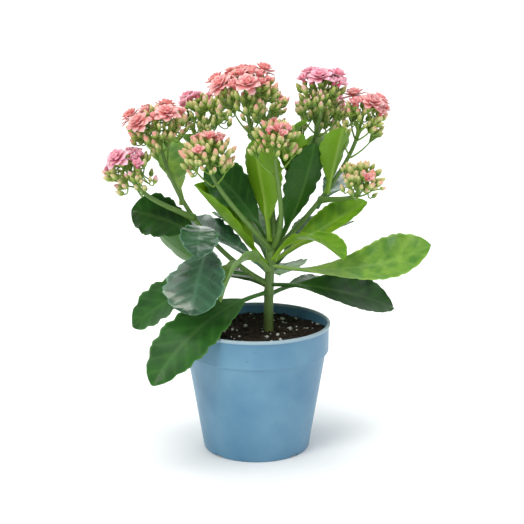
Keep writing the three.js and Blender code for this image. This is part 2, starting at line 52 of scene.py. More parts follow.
# Each stalk: host, where it starts on it, first handle, end, lean of its head's axis, last handle
stalks = {
    "centre": ("main", 0.98, (14, 0, 186), (-6, -8, 243), (-0.1, -0.08), 26),
    "right": ("main", 0.97, (22, 6, 184), (44, 3, 240), (0.05, 0), 24),
    "farRight": ("main", 0.87, (38, 8, 166), (70, 1, 225), (0.28, -0.05), 26),
    "left": ("main", 0.67, (-28, 2, 138), (-65, -9, 218), (-0.2, -0.1), 40),
    "lowLeft": ("left", 0.56, (-58, -14, 176), (-82, -22, 196), (-0.4, -0.3), 14),
    "front": ("main", 0.89, (-2, -26, 164), (-31, -27, 206), (-0.15, -0.3), 16),
    "midRight": ("main", 0.9, (24, -22, 166), (13, -26, 216), (0.05, -0.2), 18),
    "lowRight": ("farRight", 0.45, (58, -10, 182), (69, -24, 190), (0.25, -0.3), 8),
    "backLeft": ("main", 0.87, (-8, 22, 164), (-36, 38, 222), (-0.2, 0.2), 26),
    "back": ("main", 0.92, (12, 26, 176), (6, 56, 225), (0, 0.3), 24),
    "backRight": ("main", 0.86, (28, 24, 162), (44, 42, 222), (0.22, 0.2), 26),
}

# Each head: radius, height above its stalk, turn of its first bud, petal colour, share of its buds
# that have half opened, and its open flowers as (share of the radius, azimuth)
heads = {
    "centre": (24, 30, 10, "coral", 0.5, [(0.86, -82), (0.86, 162), (0.62, 20), (0.86, -140), (0.75, 92)]),
    "right": (18, 29, 50, "rose", 0.9, [(0.62, -100), (0.62, 20), (0.62, 140)]),
    "farRight": (18, 29, 90, "salmon", 0.8, [(0.62, -80), (0.62, 40), (0.62, 160)]),
    "left": (23, 30, 130, "coral", 0.6, [(0.7, -48), (0.7, 170), (0.7, 60), (0.8, -120)]),
    "lowLeft": (17, 24, 170, "rose", 0.3, [(0.4, -110)]),
    "front": (20, 26, 210, "coral", 0.12, []),
    "midRight": (17, 25, 250, "coral", 0.12, []),
    "lowRight": (15, 23, 290, "coral", 0.15, []),
    "backLeft": (21, 30, 330, "rose", 0.35, [(0.5, 140)]),
    "back": (19, 29, 20, "salmon", 0.35, [(0.45, 80)]),
    "backRight": (21, 30, 70, "rose", 0.4, [(0.5, 40)]),
}

# Each leaf: host, place on it, azimuth, rise, droop, length, width, roll, cup, teeth, skin, and for
# some how far out it is widest and by what share of its length it has rolled
leaves = {
    "frontLeftLow": ("main", 0.62, -142, -3, 48, 110, 38, -27, 0.16, 5, "mature", 1.25),
    "backRightLow": ("main", 0.61, 42, 12, 48, 92, 42, 0, 0.2, 5, "mature"),
    "rightLong": ("main", 0.79, -14, -7, -36, 112, 40, 46, 0.2, 5, "light", 1.7, 0.95),
    "leftRising": ("main", 0.82, -170, 52, 6, 74, 29, -20, 0.7, 4, "young", 1.3),
    "frontCurl": ("main", 0.86, -38, 58, 106, 66, 28, -6, 0.3, 4, "young"),
    "leftHanging": ("main", 0.79, -130, 50, 138, 64, 25, 30, 0.35, 4, "light", 1.3),
    "backHigh": ("main", 0.82, 112, 38, 50, 84, 42, 0, 0.22, 5, "mature"),
    "tallRight": ("main", 0.955, -20, 62, -16, 74, 31, -36, 0.2, 5, "dark", 1.4),
    "tallCentre": ("main", 0.985, -130, 82, 8, 70, 34, 0, 0.2, 4, "young"),
    "centreLeft": ("main", 0.965, 176, 64, 28, 66, 36, -44, 0.2, 4, "mature"),
    "leftGlossy": ("left", 0.38, -106, -6, 66, 66, 48, 10, 0.14, 4, "glossy"),
    "leftUpright": ("left", 0.4, 172, 30, 20, 58, 34, -52, 0.2, 4, "dark"),
    "leftNodding": ("left", 0.48, -92, 30, 88, 46, 27, -12, 0.2, 4, "glossy"),
    "leftOval": ("left", 0.12, 168, 2, -46, 76, 28, 50, 0.2, 4, "mature"),
    "farLeftLow": ("left", 0.2, -174, -20, 22, 84, 42, -24, 0.16, 5, "mature"),
    "backLeftLow": ("main", 0.66, 134, 10, 44, 92, 44, 0, 0.18, 5, "dark"),
    "leftHigh": ("left", 0.66, 118, 60, 26, 58, 34, 10, 0.2, 4, "light"),
    "rightGlossy": ("farRight", 0.4, 50, 36, 46, 60, 38, 0, 0.18, 4, "glossy"),
    "rightRising": ("main", 0.83, 10, 34, 6, 76, 26, 30, 0.4, 5, "young"),
    "rightLow": ("main", 0.67, 2, 0, 24, 88, 40, 24, 0.2, 5, "dark"),
    "backLow": ("main", 0.69, 84, 16, 54, 94, 45, 0, 0.18, 5, "mature"),
    "backLeftHigh": ("main", 0.765, 148, 34, 30, 84, 40, 0, 0.22, 5, "glossy"),
    "backRightHigh": ("main", 0.78, 48, 34, 40, 86, 42, 0, 0.2, 5, "dark"),
}
smallLeaves = {
    "right": ("right", 0.36, -96, 74, 20, 50, 22, 0, 0.3, 3, "young"),
    "farRight": ("farRight", 0.52, -60, 78, 18, 50, 24, 0, 0.3, 3, "young"),
    "centre": ("centre", 0.5, -12, 58, 16, 46, 21, 0, 0.3, 3, "young"),
    "backLeft": ("backLeft", 0.55, 150, 58, 30, 50, 22, 0, 0.3, 3, "light"),
    "backRight": ("backRight", 0.55, 60, 58, 30, 50, 22, 0, 0.3, 3, "light"),
    "back": ("back", 0.55, 100, 50, 30, 48, 22, 0, 0.3, 3, "light"),
}


# Small sums that everything below uses
def smoothStep(value):
    # 3 s^2 - 2 s^3, with s held between 0 and 1
    share = np.clip(value, 0, 1)
    return share * share * (3 - 2 * share)


def mix(a, b, share):
    # a straight line from a to b
    return a + (b - a) * share


def unit(vectors):
    # each vector over its own length
    return vectors / np.linalg.norm(vectors, axis=-1, keepdims=True)


def scatter(index, salt):
    # the fraction left of a large sine: a number from 0 to 1 that only depends on its arguments
    value = np.sin(index * 12.9898 + salt * 78.233) * 43758.5453
    return value - np.floor(value)


def bezier(points, share):
    # cubic curve: its points weigh (1 - t)^3, 3 t (1 - t)^2, 3 t^2 (1 - t) and t^3
    a, b, c, d = np.array(points, float)
    t = np.atleast_1d(share)[:, None]
    return a * (1 - t) ** 3 + 3 * b * t * (1 - t) ** 2 + 3 * c * t * t * (1 - t) + d * t ** 3


def bezierSlope(points, share):
    # the curve's own derivative, at length one
    a, b, c, d = np.array(points, float)
    t = np.atleast_1d(share)[:, None]
    return unit(3 * (b - a) * (1 - t) ** 2 + 6 * (c - b) * t * (1 - t) + 3 * (d - c) * t * t)


def turned(vectors, axes, angle):
    # each vector turned about its axis: v cos + (axis x v) sin + axis (axis . v)(1 - cos)
    c, s = np.cos(angle)[..., None], np.sin(angle)[..., None]
    along = axes * (axes * vectors).sum(-1, keepdims=True)
    return vectors * c + np.cross(axes, vectors) * s + along * (1 - c)


def spun(points, angle):
    # turned about the upright axis: x cos - y sin and x sin + y cos
    c, s = np.cos(angle), np.sin(angle)
    x, y, z = np.moveaxis(points, -1, 0)
    return np.stack([x * c - y * s, x * s + y * c, z], -1)


def roundAxis(axis, azimuth):
    # directions square to an axis: +X laid square to it, times the cosine of the azimuth, plus what
    # is square to both, times its sine
    right = unit(np.array([1.0, 0, 0]) - axis * axis[0])
    azimuth = np.radians(azimuth)[..., None]
    return right * np.cos(azimuth) + np.cross(axis, right) * np.sin(azimuth)


def closedSkins(rings, **marks):
    # rings[k, n, m] are k skins of n rings with m corners each, closed at both ends by a pole in
    # the middle of the end ring. A skin whose volume comes out negative has its faces turned.
    k, n, m, _ = rings.shape
    poles = rings[:, [0, -1]].mean(2)
    points = np.concatenate([rings.reshape(k, n * m, 3), poles], 1)
    i, j = np.meshgrid(np.arange(n - 1), np.arange(m), indexing="ij")
    here, beside = i * m + j, i * m + (j + 1) % m
    quads = np.stack([here, beside, beside + m, here + m], -1).reshape(-1, 4)
    ring, after = np.arange(m), (np.arange(m) + 1) % m
    foot = np.stack([np.full(m, n * m), after, ring], -1)
    tip = np.stack([np.full(m, n * m + 1), (n - 1) * m + ring, (n - 1) * m + after], -1)
    fans = np.concatenate([foot, tip])
    corners = np.concatenate([quads[:, [0, 1, 2]], quads[:, [0, 2, 3]], fans])
    a, b, c = (points[:, corners[:, side]] for side in range(3))
    inward = (a * np.cross(b, c)).sum((1, 2)) < 0
    start = (np.arange(k) * (n * m + 2))[:, None, None]
    way = inward[:, None, None]
    shape = {
        "points": points.reshape(-1, 3),
        "quads": (np.where(way, quads[:, ::-1], quads) + start).reshape(-1, 4),
        "fans": (np.where(way, fans[:, ::-1], fans) + start).reshape(-1, 3),
        "marks": {},
    }
    for name, values in marks.items():
        values = np.broadcast_to(values, (k, n, m))
        flat = [values.reshape(k, n * m), values[:, [0, -1]].mean(2)]
        shape["marks"][name] = np.concatenate(flat, 1).ravel()
    return shape


def joined(shapes):
    # several skins as one, with 0 where a skin lacks a mark
    starts = np.cumsum([0] + [len(shape["points"]) for shape in shapes[:-1]])
    names = sorted({name for shape in shapes for name in shape["marks"]})
    return {
        "points": np.concatenate([shape["points"] for shape in shapes]),
        "quads": np.concatenate([shape["quads"] + start for shape, start in zip(shapes, starts)]),
        "fans": np.concatenate([shape["fans"] + start for shape, start in zip(shapes, starts)]),
        "marks": {
            name: np.concatenate([s["marks"].get(name, np.zeros(len(s["points"]))) for s in shapes])
            for name in names
        },
    }


def tubes(lines, radii, sides, **marks):
    # round tubes along k lines of n points: each ring stands square to its line
    slope = unit(np.gradient(lines, axis=1))
    steep = np.abs(slope[:, :, 1].mean(1)) > 0.8
    aside = np.where(steep[:, None, None], [1.0, 0, 0], [0, 1.0, 0])
    across = unit(np.cross(aside, slope))
    over = np.cross(slope, across)
    angle = np.linspace(0, 2 * np.pi, sides, endpoint=False)[:, None]
    spoke = across[:, :, None] * np.cos(angle) + over[:, :, None] * np.sin(angle)
    radii = np.broadcast_to(radii, lines.shape[:2])[:, :, None, None]
    spread = {name: np.broadcast_to(value, lines.shape[:2])[:, :, None] for name, value in marks.items()}
    return closedSkins(lines[:, :, None] + radii * spoke, **spread)


def makePiece(name, shape, material, slot, *stoodFor):
    # a smooth mesh in metres with its marks as attributes, and the nodes that it stands for
    mesh = bpy.data.meshes.new(name)
    mesh.from_pydata(shape["points"] * mm, [], shape["quads"].tolist() + shape["fans"].tolist())
    for mark, values in shape["marks"].items():
        mesh.attributes.new(mark, "FLOAT", "POINT").data.foreach_set("value", values.astype(np.float32))
    mesh.materials.append(material)
    mesh.shade_smooth()
    piece = bpy.data.objects.new(name, mesh)
    bpy.context.scene.collection.objects.link(piece)
    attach(piece, "root")
    if stoodFor:
        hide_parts(*stoodFor)
    return piece


# The lines of the stem and the stalks, and what stands on them
lines = {"main": stem["line"]}
headAxes = {}
for name, (host, at, handle, end, lean, reach) in stalks.items():
    headAxes[name] = unit(np.array([lean[0], lean[1], 1.0]))
    below = np.array(end) - headAxes[name] * reach
    lines[name] = [bezier(lines[host], at)[0], handle, below, end]


def stemRadius(share):
    # from foot to top, with a smooth swelling round each pair of leaves
    swell = sum(np.exp(-(((share - node) / stem["nodeLength"]) ** 2)) for node in stem["nodes"])
    return mix(stem["foot"], stem["top"], share) + stem["swelling"] * np.minimum(1, swell)


def stalkRadius(share):
    # narrows evenly from foot to top
    return mix(stem["stalkFoot"], stem["stalkTop"], share)


# Colours and materials
def linear(code):
    # sRGB hex to linear: the power curve above 0.04045, and a straight line below it
    value = np.array([int(code[i:i + 2], 16) for i in (1, 3, 5)]) / 255
    return (*np.where(value > 0.04045, ((value + 0.055) / 1.055) ** 2.4, value / 12.92), 1.0)


def addNode(tree, kind, output, inputs, **settings):
    # one node with its settings, of which one output is given back; an input is a number, a colour
    # or the output that feeds it
    node = tree.nodes.new(kind)
    for key, value in settings.items():
        setattr(node, key, value)
    for key, value in inputs.items():
        if isinstance(value, bpy.types.NodeSocket):
            tree.links.new(value, node.inputs[key])
        else:
            node.inputs[key].default_value = value
    return node.outputs[output]


def newMaterial(name, **settings):
    # the material, its nodes, its shader with these settings and the piece's own coordinates
    material = bpy.data.materials.new(name)
    material.use_nodes = True
    tree = material.node_tree
    shader = tree.nodes["Principled BSDF"]
    for key, value in settings.items():
        shader.inputs[key].default_value = value
    return material, tree, shader, addNode(tree, "ShaderNodeTexCoord", "Object", {})


def layered(tree, colour, layers):
    # each layer, a factor and a colour, covers the ones before it by its factor
    for factor, fresh in layers:
        layer = {0: factor, 6: colour, 7: fresh}
        colour = addNode(tree, "ShaderNodeMix", 2, layer, data_type="RGBA")
    return colour


def finishSkin(tree, shader, colour, rough, relief, under=(0, 0.05)):
    # rough is a pattern and the two values that the roughness runs between with it, relief is a
    # pattern, its strength and its height in metres, and under is the share of the light that goes
    # under the skin, and how far in metres
    tree.links.new(colour, shader.inputs["Base Color"])
    shine = {"Value": rough[0], 3: rough[1], 4: rough[2]}
    tree.links.new(addNode(tree, "ShaderNodeMapRange", "Result", shine), shader.inputs["Roughness"])
    bump = {"Height": relief[0], "Strength": relief[1], "Distance": relief[2]}
    tree.links.new(addNode(tree, "ShaderNodeBump", "Normal", bump), shader.inputs["Normal"])
    shader.inputs["Subsurface Weight"].default_value = under[0]
    shader.inputs["Subsurface Scale"].default_value = under[1]


leafSkins = {  # upper face: patches, face, edge and veins, rib; under face and its specks; finish
    "mature": {
        "deep": "#1d4a14", "face": "#275f18", "edge": "#508436", "rib": "#658f4a",
        "under": "#457430", "pale": "#618a46", "specks": 0.5, "rough": 0.46, "gloss": 0.3, "coat": 0.1,
    },
    "light": {
        "deep": "#4a7e2a", "face": "#7ca536", "edge": "#a5c460", "rib": "#9bbb62",
        "under": "#6b9144", "pale": "#8dac6c", "specks": 0.6, "rough": 0.46, "gloss": 0.35, "coat": 0.12,
    },
    "young": {
        "deep": "#4f860f", "face": "#6f9f0c", "edge": "#a0c034", "rib": "#aac85e",
        "under": "#689612", "pale": "#80a532", "specks": 0.35, "rough": 0.46, "gloss": 0.3, "coat": 0.1,
    },
    "dark": {
        "deep": "#14360b", "face": "#1c4c0c", "edge": "#3b6b1e", "rib": "#5a833a",
        "under": "#275512", "pale": "#3d6a26", "specks": 0.5, "rough": 0.42, "gloss": 0.22, "coat": 0.08,
    },
    "glossy": {
        "deep": "#1e4529", "face": "#2c5a39", "edge": "#669876", "rib": "#70a27e",
        "under": "#3c6c44", "pale": "#66936c", "specks": 0.5, "rough": 0.26, "gloss": 0.5, "coat": 0.6,
    },
}


def leafMaterial(name, look):
    # fleshy leaf under a thin wax: a green face with paler edge and rib, and a duller, paler back
    coat = {"Coat Weight": look["coat"], "Coat Roughness": 0.16, "Specular IOR Level": look["gloss"]}
    material, tree, shader, place = newMaterial(name, **{"IOR": 1.45, **coat})
    mark = {}
    for key in ("leafEdge", "leafRib", "leafVein", "leafTop", "leafFresh"):
        mark[key] = addNode(tree, "ShaderNodeAttribute", "Fac", {}, attribute_name=key)
    patch = {"Vector": place, "Scale": 90, "Detail": 4}  # patches of 11 mm
    patch = addNode(tree, "ShaderNodeTexNoise", "Fac", patch)
    speck = {"Vector": place, "Scale": 700, "Detail": 2}  # specks of 1.4 mm
    speck = addNode(tree, "ShaderNodeTexNoise", "Fac", speck)
    cell = {"Vector": place, "Scale": 1400, "Detail": 3}  # cells of 0.7 mm
    cell = addNode(tree, "ShaderNodeTexNoise", "Fac", cell)
    strong = addNode(tree, "ShaderNodeMapRange", "Result", {"Value": patch, 1: 0.35, 2: 0.65})
    fine = {"Value": speck, 1: 0.4, 2: 0.75, 4: look["specks"]}
    fine = addNode(tree, "ShaderNodeMapRange", "Result", fine)
    edge, rib = linear(look["edge"]), linear(look["rib"])
    above = layered(tree, linear(look["deep"]), [
        (strong, linear(look["face"])),
        (mark["leafFresh"], edge),
        (mark["leafVein"], edge),
        (mark["leafEdge"], edge),
        (mark["leafRib"], rib),
    ])
    below = layered(tree, linear(look["under"]), [(fine, linear(look["pale"])), (mark["leafRib"], rib)])
    skin = layered(tree, below, [(mark["leafTop"], above)])
    rough = (patch, look["rough"] - 0.06, look["rough"] + 0.12)
    finishSkin(tree, shader, skin, rough, (cell, 0.2, 0.0003), (0.12, 0.0015))
    shader.inputs["Subsurface Radius"].default_value = (0.4, 1.0, 0.15)  # green goes deepest
    return material


leafPaint = {key: leafMaterial("waxyLeaf_" + key, look) for key, look in leafSkins.items()}


# The leaves
blade = {
    "petioleShare": 0.17, "petioleHalfWidth": 1.9, "petioleThickness": 2.6, "petioleNarrows": 0.6,
    "footReach": 0.75, "footWidens": 0.5, "footLength": 0.06,  # the foot starts inside its host
    "thickness": 1.3, "thinFrom": 0.35, "bladeThins": 0.72, "tipThins": 0.75, "tipFrom": 0.9,
    "widest": 1.6, "rollBy": 0.4, "fullness": 0.62, "roundness": 0.7,
    "scallopStart": 0.2, "scallopDepth": 0.12, "midNotch": 0.5, "toothShift": 0.12,
    "groove": 0.45, "keel": 0.9, "ribWidth": 1.3,  # rib: groove above, keel below, in mm
    "veinRelief": 0.16, "veinCount": 7, "veinSlant": 0.085,  # veins passed per mm out from the rib
    "ruffle": 0.5, "buckle": 0.9,  # waves of the edge and of the whole blade, in mm
    "edgeFrom": 0.86, "edgeTint": 0.6, "veinTint": 0.22, "freshTint": 0.5, "freshTo": 0.35,
    "petioleRows": 15, "tipRows": 14, "rowsPerTooth": 14, "around": 48,
}


def leafShape(leaf, seed, clear=0.3):
    # The rib is an arc in its own upright plane, and u runs along the blade. A row is a flat loop
    # round the rib: t = cos(phi) is the share of the half width, and |sin(phi)| ^ roundness the
    # share of the half thickness. The half width is sin(pi u ^ widest) ^ fullness of the widest,
    # less the notches between the teeth, and the cup lifts the edges by t squared.
    host, at, azimuth, rise, droop, length, width, roll, cup, teeth = leaf[:10]
    widest, rollBy = leaf[11:] + (blade["widest"], blade["rollBy"])[len(leaf) - 11:]
    petiole = blade["petioleShare"]
    rise, bend = np.radians(rise), np.radians(droop)
    azimuth, roll = np.radians(azimuth), np.radians(roll)
    hostRadius = stemRadius(at) if host == "main" else stalkRadius(at)
    slope = bezierSlope(lines[host], at)[0]
    outward = np.array([np.cos(azimuth), np.sin(azimuth), 0])
    across = np.linalg.norm(np.cross(slope, outward))
    out = (hostRadius + clear) / across + abs(np.sin(rise)) * blade["petioleThickness"] / 2

    inside = -blade["footReach"] * out / length
    onBlade = np.linspace(0, 1, teeth * blade["rowsPerTooth"] + blade["tipRows"])
    foot = np.linspace(inside, petiole, blade["petioleRows"], endpoint=False)
    share = np.concatenate([foot, petiole + (1 - petiole) * onBlade])
    onBlade = np.clip((share - petiole) / (1 - petiole), 0, 1)
    angle = rise - bend * share
    rib = np.stack([
        length * (np.sin(rise) - np.sin(angle)) / bend,
        np.zeros_like(share),
        length * (np.cos(angle) - np.cos(rise)) / bend,
    ], -1)
    along = np.stack([np.cos(angle), np.zeros_like(angle), np.sin(angle)], -1)
    side = turned(np.array([0, 1.0, 0]), along, roll * smoothStep(share / rollBy))
    lift = np.cross(along, side)

    phi = np.linspace(0, 2 * np.pi, blade["around"], endpoint=False)[None]
    t = np.cos(phi)
    above = np.sign(np.sin(phi)) * np.abs(np.sin(phi)) ** blade["roundness"]
    u = onBlade[:, None]
    full = width / 2 * np.sin(np.pi * onBlade ** widest).clip(0) ** blade["fullness"]
    shift = np.where(t > 0, 2, -2) * blade["toothShift"] * smoothStep(1 - u) * (scatter(seed, 3) - 0.5)
    tooth = teeth * (u - blade["scallopStart"]) / (1 - blade["scallopStart"]) + shift
    notch = 1 - np.abs(np.sin(np.pi * tooth))
    between = blade["midNotch"] * (1 - np.abs(np.sin(2 * np.pi * tooth)))  # a shallow one halfway
    cut = np.maximum(notch, between) * (u > blade["scallopStart"]) * np.abs(t) ** 3
    stalk = blade["petioleHalfWidth"] * (1 - blade["petioleNarrows"] * smoothStep(onBlade))
    stalk = stalk * (1 + blade["footWidens"] * smoothStep(1 - (share - inside) / blade["footLength"]))
    half = np.maximum(stalk, full + stalk * (1 - onBlade))[:, None] * np.ones_like(t)
    half = half - full[:, None] * cut * blade["scallopDepth"]
    thick = mix(blade["petioleThickness"], blade["thickness"], smoothStep(u / blade["thinFrom"])) / 2
    thick = thick * mix(1, blade["bladeThins"], smoothStep(u * 1.2 - 0.2))
    thick = thick * (1 - blade["tipThins"] * smoothStep((u - blade["tipFrom"]) / (1 - blade["tipFrom"])))

    off = np.abs(t) * half  # distance from the rib in mm
    spread = smoothStep(u / 0.1)
    ribHere = np.exp(-((off / blade["ribWidth"]) ** 2)) * (1 - 0.7 * u) * spread
    vein = 0.5 + 0.5 * np.cos(2 * np.pi * (blade["veinCount"] * u - blade["veinSlant"] * off))
    vein = vein ** 6 * spread * smoothStep((1 - np.abs(t)) / 0.25) * smoothStep(off / 3)
    wave = np.sin(2 * np.pi * (tooth + 0.25 * np.sign(t)))
    wave = wave * np.abs(t) ** 3 * smoothStep((u - 0.15) / 0.2) * smoothStep((1 - u) / 0.1)
    turn = 6.28 * scatter(seed, 5)
    buckle = np.sin(5.2 * u + turn) * np.sin(2.2 * t + turn) * smoothStep(u / 0.3)
    height = cup * half * t ** 2 + blade["ruffle"] * wave + blade["buckle"] * buckle
    upper = smoothStep(above * 2 + 0.5)
    height = height - blade["groove"] * ribHere * upper - blade["veinRelief"] * vein * upper
    height = height - blade["keel"] * ribHere * (1 - upper) - 0.6 * blade["veinRelief"] * vein * (1 - upper)
    height = height + above * thick

    loop = rib[:, None] + side[:, None] * (t * half)[..., None] + lift[:, None] * height[..., None]
    loop = spun(loop + [out, 0, 0], azimuth) + bezier(lines[host], at)[0]
    nearEdge = smoothStep((np.abs(t) - blade["edgeFrom"]) / (1 - blade["edgeFrom"]))
    return closedSkins(
        loop[None],
        leafEdge=nearEdge * blade["edgeTint"] * spread,
        leafRib=np.exp(-((off / 0.9) ** 2)) * mix(0.75, 0.4, upper) * (1 - 0.6 * u),
        leafVein=vein * blade["veinTint"],
        leafTop=upper * np.ones_like(u),
        leafFresh=(1 - smoothStep(u / blade["freshTo"])) * blade["freshTint"] * np.ones_like(t),
    )


for seed, (name, leaf) in enumerate(leaves.items()):
    node = "leaf_" + name
    makePiece(node, leafShape(leaf, seed), leafPaint[leaf[10]], "leaf", node)
for seed, (name, leaf) in enumerate(smallLeaves.items()):
    shape = leafShape(leaf, 40 + seed, -stem["stalkTop"])
    makePiece("small_leaf_" + name, shape, leafPaint[leaf[10]], "leaf", "stem")
print("leaves made")


# The stem and its stalks
def stalkMaterial(name):
    # succulent stem: a smooth pale green skin, corky and browner at the foot of the main stem
    waxy = {"IOR": 1.42, "Coat Weight": 0.1, "Coat Roughness": 0.3}
    material, tree, shader, place = newMaterial(name, **waxy)
    long = addNode(tree, "ShaderNodeMapping", "Vector", {"Vector": place, "Scale": (1, 1, 0.15)})
    streak = {"Vector": long, "Scale": 700, "Detail": 5}  # streaks 1.4 mm wide and 10 mm long
    streak = addNode(tree, "ShaderNodeTexNoise", "Fac", streak)
    old = addNode(tree, "ShaderNodeAttribute", "Fac", {}, attribute_name="stemOld")
    layers = [(streak, linear(stem["pale"])), (old, linear(stem["cork"]))]
    skin = layered(tree, linear(stem["green"]), layers)
    finishSkin(tree, shader, skin, (streak, 0.35, 0.55), (streak, 0.3, 0.0004), (0.1, 0.0015))
    return material


def stemShape():
    # a tube along the main line and one along each stalk, which widens where it leaves its host
    share = np.linspace(0, 1, stem["rows"])
    line = bezier(lines["main"], share)[None]
    ripples = stem["ripples"] * np.sin(share * 400)  # faint rings, under a tenth of a millimetre high
    old = stem["corkTint"] * smoothStep((stem["corkTo"] - line[..., 2]) / stem["corkOver"])
    skins = [tubes(line, (stemRadius(share) + ripples)[None], stem["sides"], stemOld=old)]
    share = np.linspace(0, 1, stem["stalkRows"])
    stalkLines = np.stack([bezier(lines[name], share) for name in stalks])
    steps = np.linalg.norm(np.diff(stalkLines, axis=1), axis=2)
    run = np.concatenate([np.zeros((len(stalks), 1)), np.cumsum(steps, 1)], 1)
    flare = stem["flare"] * np.exp(-run / stem["flareLength"])
    skins.append(tubes(stalkLines, stalkRadius(share) + flare, stem["stalkSides"], stemOld=0))
    return joined(skins)


makePiece("stem", stemShape(), stalkMaterial("succulentStem"), "stem", "stem")
print("stem made")


# The flower heads
umbel = {
    "sag": 0.5, "flare": 0.75,  # how the dome falls off and its buds lean out
    "rays": 5, "raySpread": 0.46, "rayHeight": 0.5, "middleRayRise": 2.4, "rayRadius": 1.05,
    "rayStart": 1.6, "knobRise": (-3, 0, 2.5, 5), "knobRadii": (1.3, 1.6, 2.0, 1.2),
    "pedicelRadius": 0.5, "forks": (5, 7), "goldenAngle": 137.508,
    "density": 0.11, "lowDensity": 0.08,  # buds on the dome and under it, per radius squared
    "lowDrop": (6, 17), "lowShare": (0.35, 0.95), "lowSize": 0.86,  # the buds under the dome
    "budLength": 7.6, "budSizes": (0.72, 1.12), "stagger": 3.5, "unruly": 0.28, "openShare": 0.85,
    "flowerClear": 8.4, "calyxDepth": 5, "calyxFoot": 4, "calyxLength": 7, "calyxStalk": 0.75,
    "green": "#5c8a2e", "paleGreen": "#91ac42", "sepalTip": "#a9ba62",
    "budGreen": "#8ea73e", "budCream": "#d6cf92",
}
shoots = {  # short side shoots under a head, in crossed pairs
    "below": (5, 17), "turn": 35, "length": 16, "lengths": (0.8, 1.1), "climb": 1.0, "endClimb": 0.6,
    "radius": 0.7, "buds": 5, "spread": 0.8, "budClimb": 0.3, "sizes": (0.6, 0.9),
    "pedicel": 6, "pedicels": (0.7, 1.2),
}


def onDome(name, share, azimuth, drop):
    # outward by the share of the radius, up by the height less half the radius times share squared
    radius, height = heads[name][:2]
    axis = headAxes[name]
    outward = roundAxis(axis, np.atleast_1d(azimuth))
    share, drop = np.atleast_1d(share)[:, None], np.atleast_1d(drop)[:, None]
    facing = unit(axis + outward * umbel["flare"] * share)
    rise = height - umbel["sag"] * radius * share ** 2 - drop
    return np.array(stalks[name][3]) + outward * share * radius + axis * rise, facing


def budPlaces(name, density, salt):
    # golden-angle spiral, apart from where a flower is open
    radius, _, turn, _, _, flowers = heads[name]
    count = round(density * radius ** 2)
    index = np.arange(count)
    share = np.sqrt((index + 0.5) / count)
    azimuth = turn + umbel["goldenAngle"] * index + 40 * salt
    free = np.ones(count, bool)
    spot = share * radius * np.exp(1j * np.radians(azimuth))
    for flowerShare, flowerAzimuth in flowers if salt == 0 else []:
        flower = flowerShare * radius * np.exp(1j * np.radians(flowerAzimuth))
        free &= np.abs(spot - flower) > umbel["flowerClear"]
    return share[free], azimuth[free], index[free]


def rayEnds(name):
    # one ray in the middle and the others evenly round it, all at a share of the dome's height
    radius, height, turn = heads[name][:3]
    drop = height * (1 - umbel["rayHeight"])
    middle, _ = onDome(name, 0, 0, drop - umbel["middleRayRise"])
    azimuth = turn + np.arange(umbel["rays"]) * 360 / umbel["rays"]
    spread = np.full(umbel["rays"], umbel["raySpread"])
    around, _ = onDome(name, spread, azimuth, drop - umbel["sag"] * radius * spread ** 2)
    return np.concatenate([middle, around])


def bent(start, end, facing, rows, grip):
    # quadratic curve from start to end, which it reaches along facing
    t = np.linspace(0, 1, rows)[None, :, None]
    reach = np.linalg.norm(end - start, axis=1, keepdims=True) * grip
    middle = end - facing * reach
    return start[:, None] * (1 - t) ** 2 + 2 * middle[:, None] * t * (1 - t) + end[:, None] * t ** 2


def standing(root, facing, profile, length, sides, twist=0.0, **marks):
    # solids of revolution on their roots. A profile row is (rise, radius, rise between the lobes,
    # radius between them), each a share of the length: every other corner takes the second pair.
    helper = np.where(np.abs(facing[:, 2:]) > 0.9, [[1.0, 0, 0]], [[0, 0, 1.0]])
    across = unit(np.cross(helper, facing))[:, None, None]
    over = np.cross(facing[:, None, None], across)
    profile = np.array(profile)
    odd = (np.arange(sides) % 2)[None]
    rise = mix(profile[:, :1], profile[:, 2:3], odd)
    radius = mix(profile[:, 1:2], profile[:, 3:], odd)
    angle = (np.linspace(0, 2 * np.pi, sides, endpoint=False)[None] + twist * rise)[..., None]
    spoke = across * np.cos(angle) + over * np.sin(angle)
    reach = facing[:, None, None] * rise[..., None] + spoke * radius[..., None]
    rings = root[:, None, None] + reach * np.reshape(length, (-1, 1, 1, 1))
    spread = {key: np.asarray(value, float).reshape(-1, 1, 1) for key, value in marks.items()}
    return closedSkins(rings, climb=np.broadcast_to(rise, rings.shape[:3]), **spread)


cupProfile = [  # four pointed sepals, and back down inside them
    (0, 0.07, 0, 0.07), (0.1, 0.2, 0.1, 0.19), (0.3, 0.28, 0.28, 0.25), (0.58, 0.25, 0.34, 0.265),
    (0.3, 0.15, 0.3, 0.15),
]
budProfile = [  # the bud that stands in it, twisted and pointed
    (0.16, 0.12, 0.16, 0.12), (0.34, 0.235, 0.34, 0.225), (0.56, 0.26, 0.56, 0.235),
    (0.78, 0.2, 0.78, 0.165), (0.93, 0.11, 0.93, 0.075), (1.0, 0.03, 0.99, 0.02),
]
calyxProfile = [  # the wider cup under an open flower
    (0, 0.1, 0, 0.1), (0.12, 0.24, 0.12, 0.22), (0.5, 0.36, 0.45, 0.3), (1.0, 0.52, 0.6, 0.34),
    (0.4, 0.2, 0.4, 0.2),
]


def sideShoots(name):
    # where each shoot leaves the stalk, its end, and the way its end points
    foot, axis = np.array(stalks[name][3], float), headAxes[name]
    turn, reach = heads[name][2], stalks[name][5]
    starts, ends, outs = [], [], []
    for tier, below in enumerate(shoots["below"]):
        for k in range(2):
            outward = roundAxis(axis, turn + shoots["turn"] + 90 * tier + 180 * k)
            way = unit(outward + axis * shoots["climb"])
            length = shoots["length"] * mix(*shoots["lengths"], scatter(tier * 2 + k, turn))
            starts.append(foot - axis * min(below, reach * 0.9))
            ends.append(starts[-1] + way * length)
            outs.append(way)
    return np.array(starts), np.array(ends), unit(np.array(outs) + axis * shoots["endClimb"])


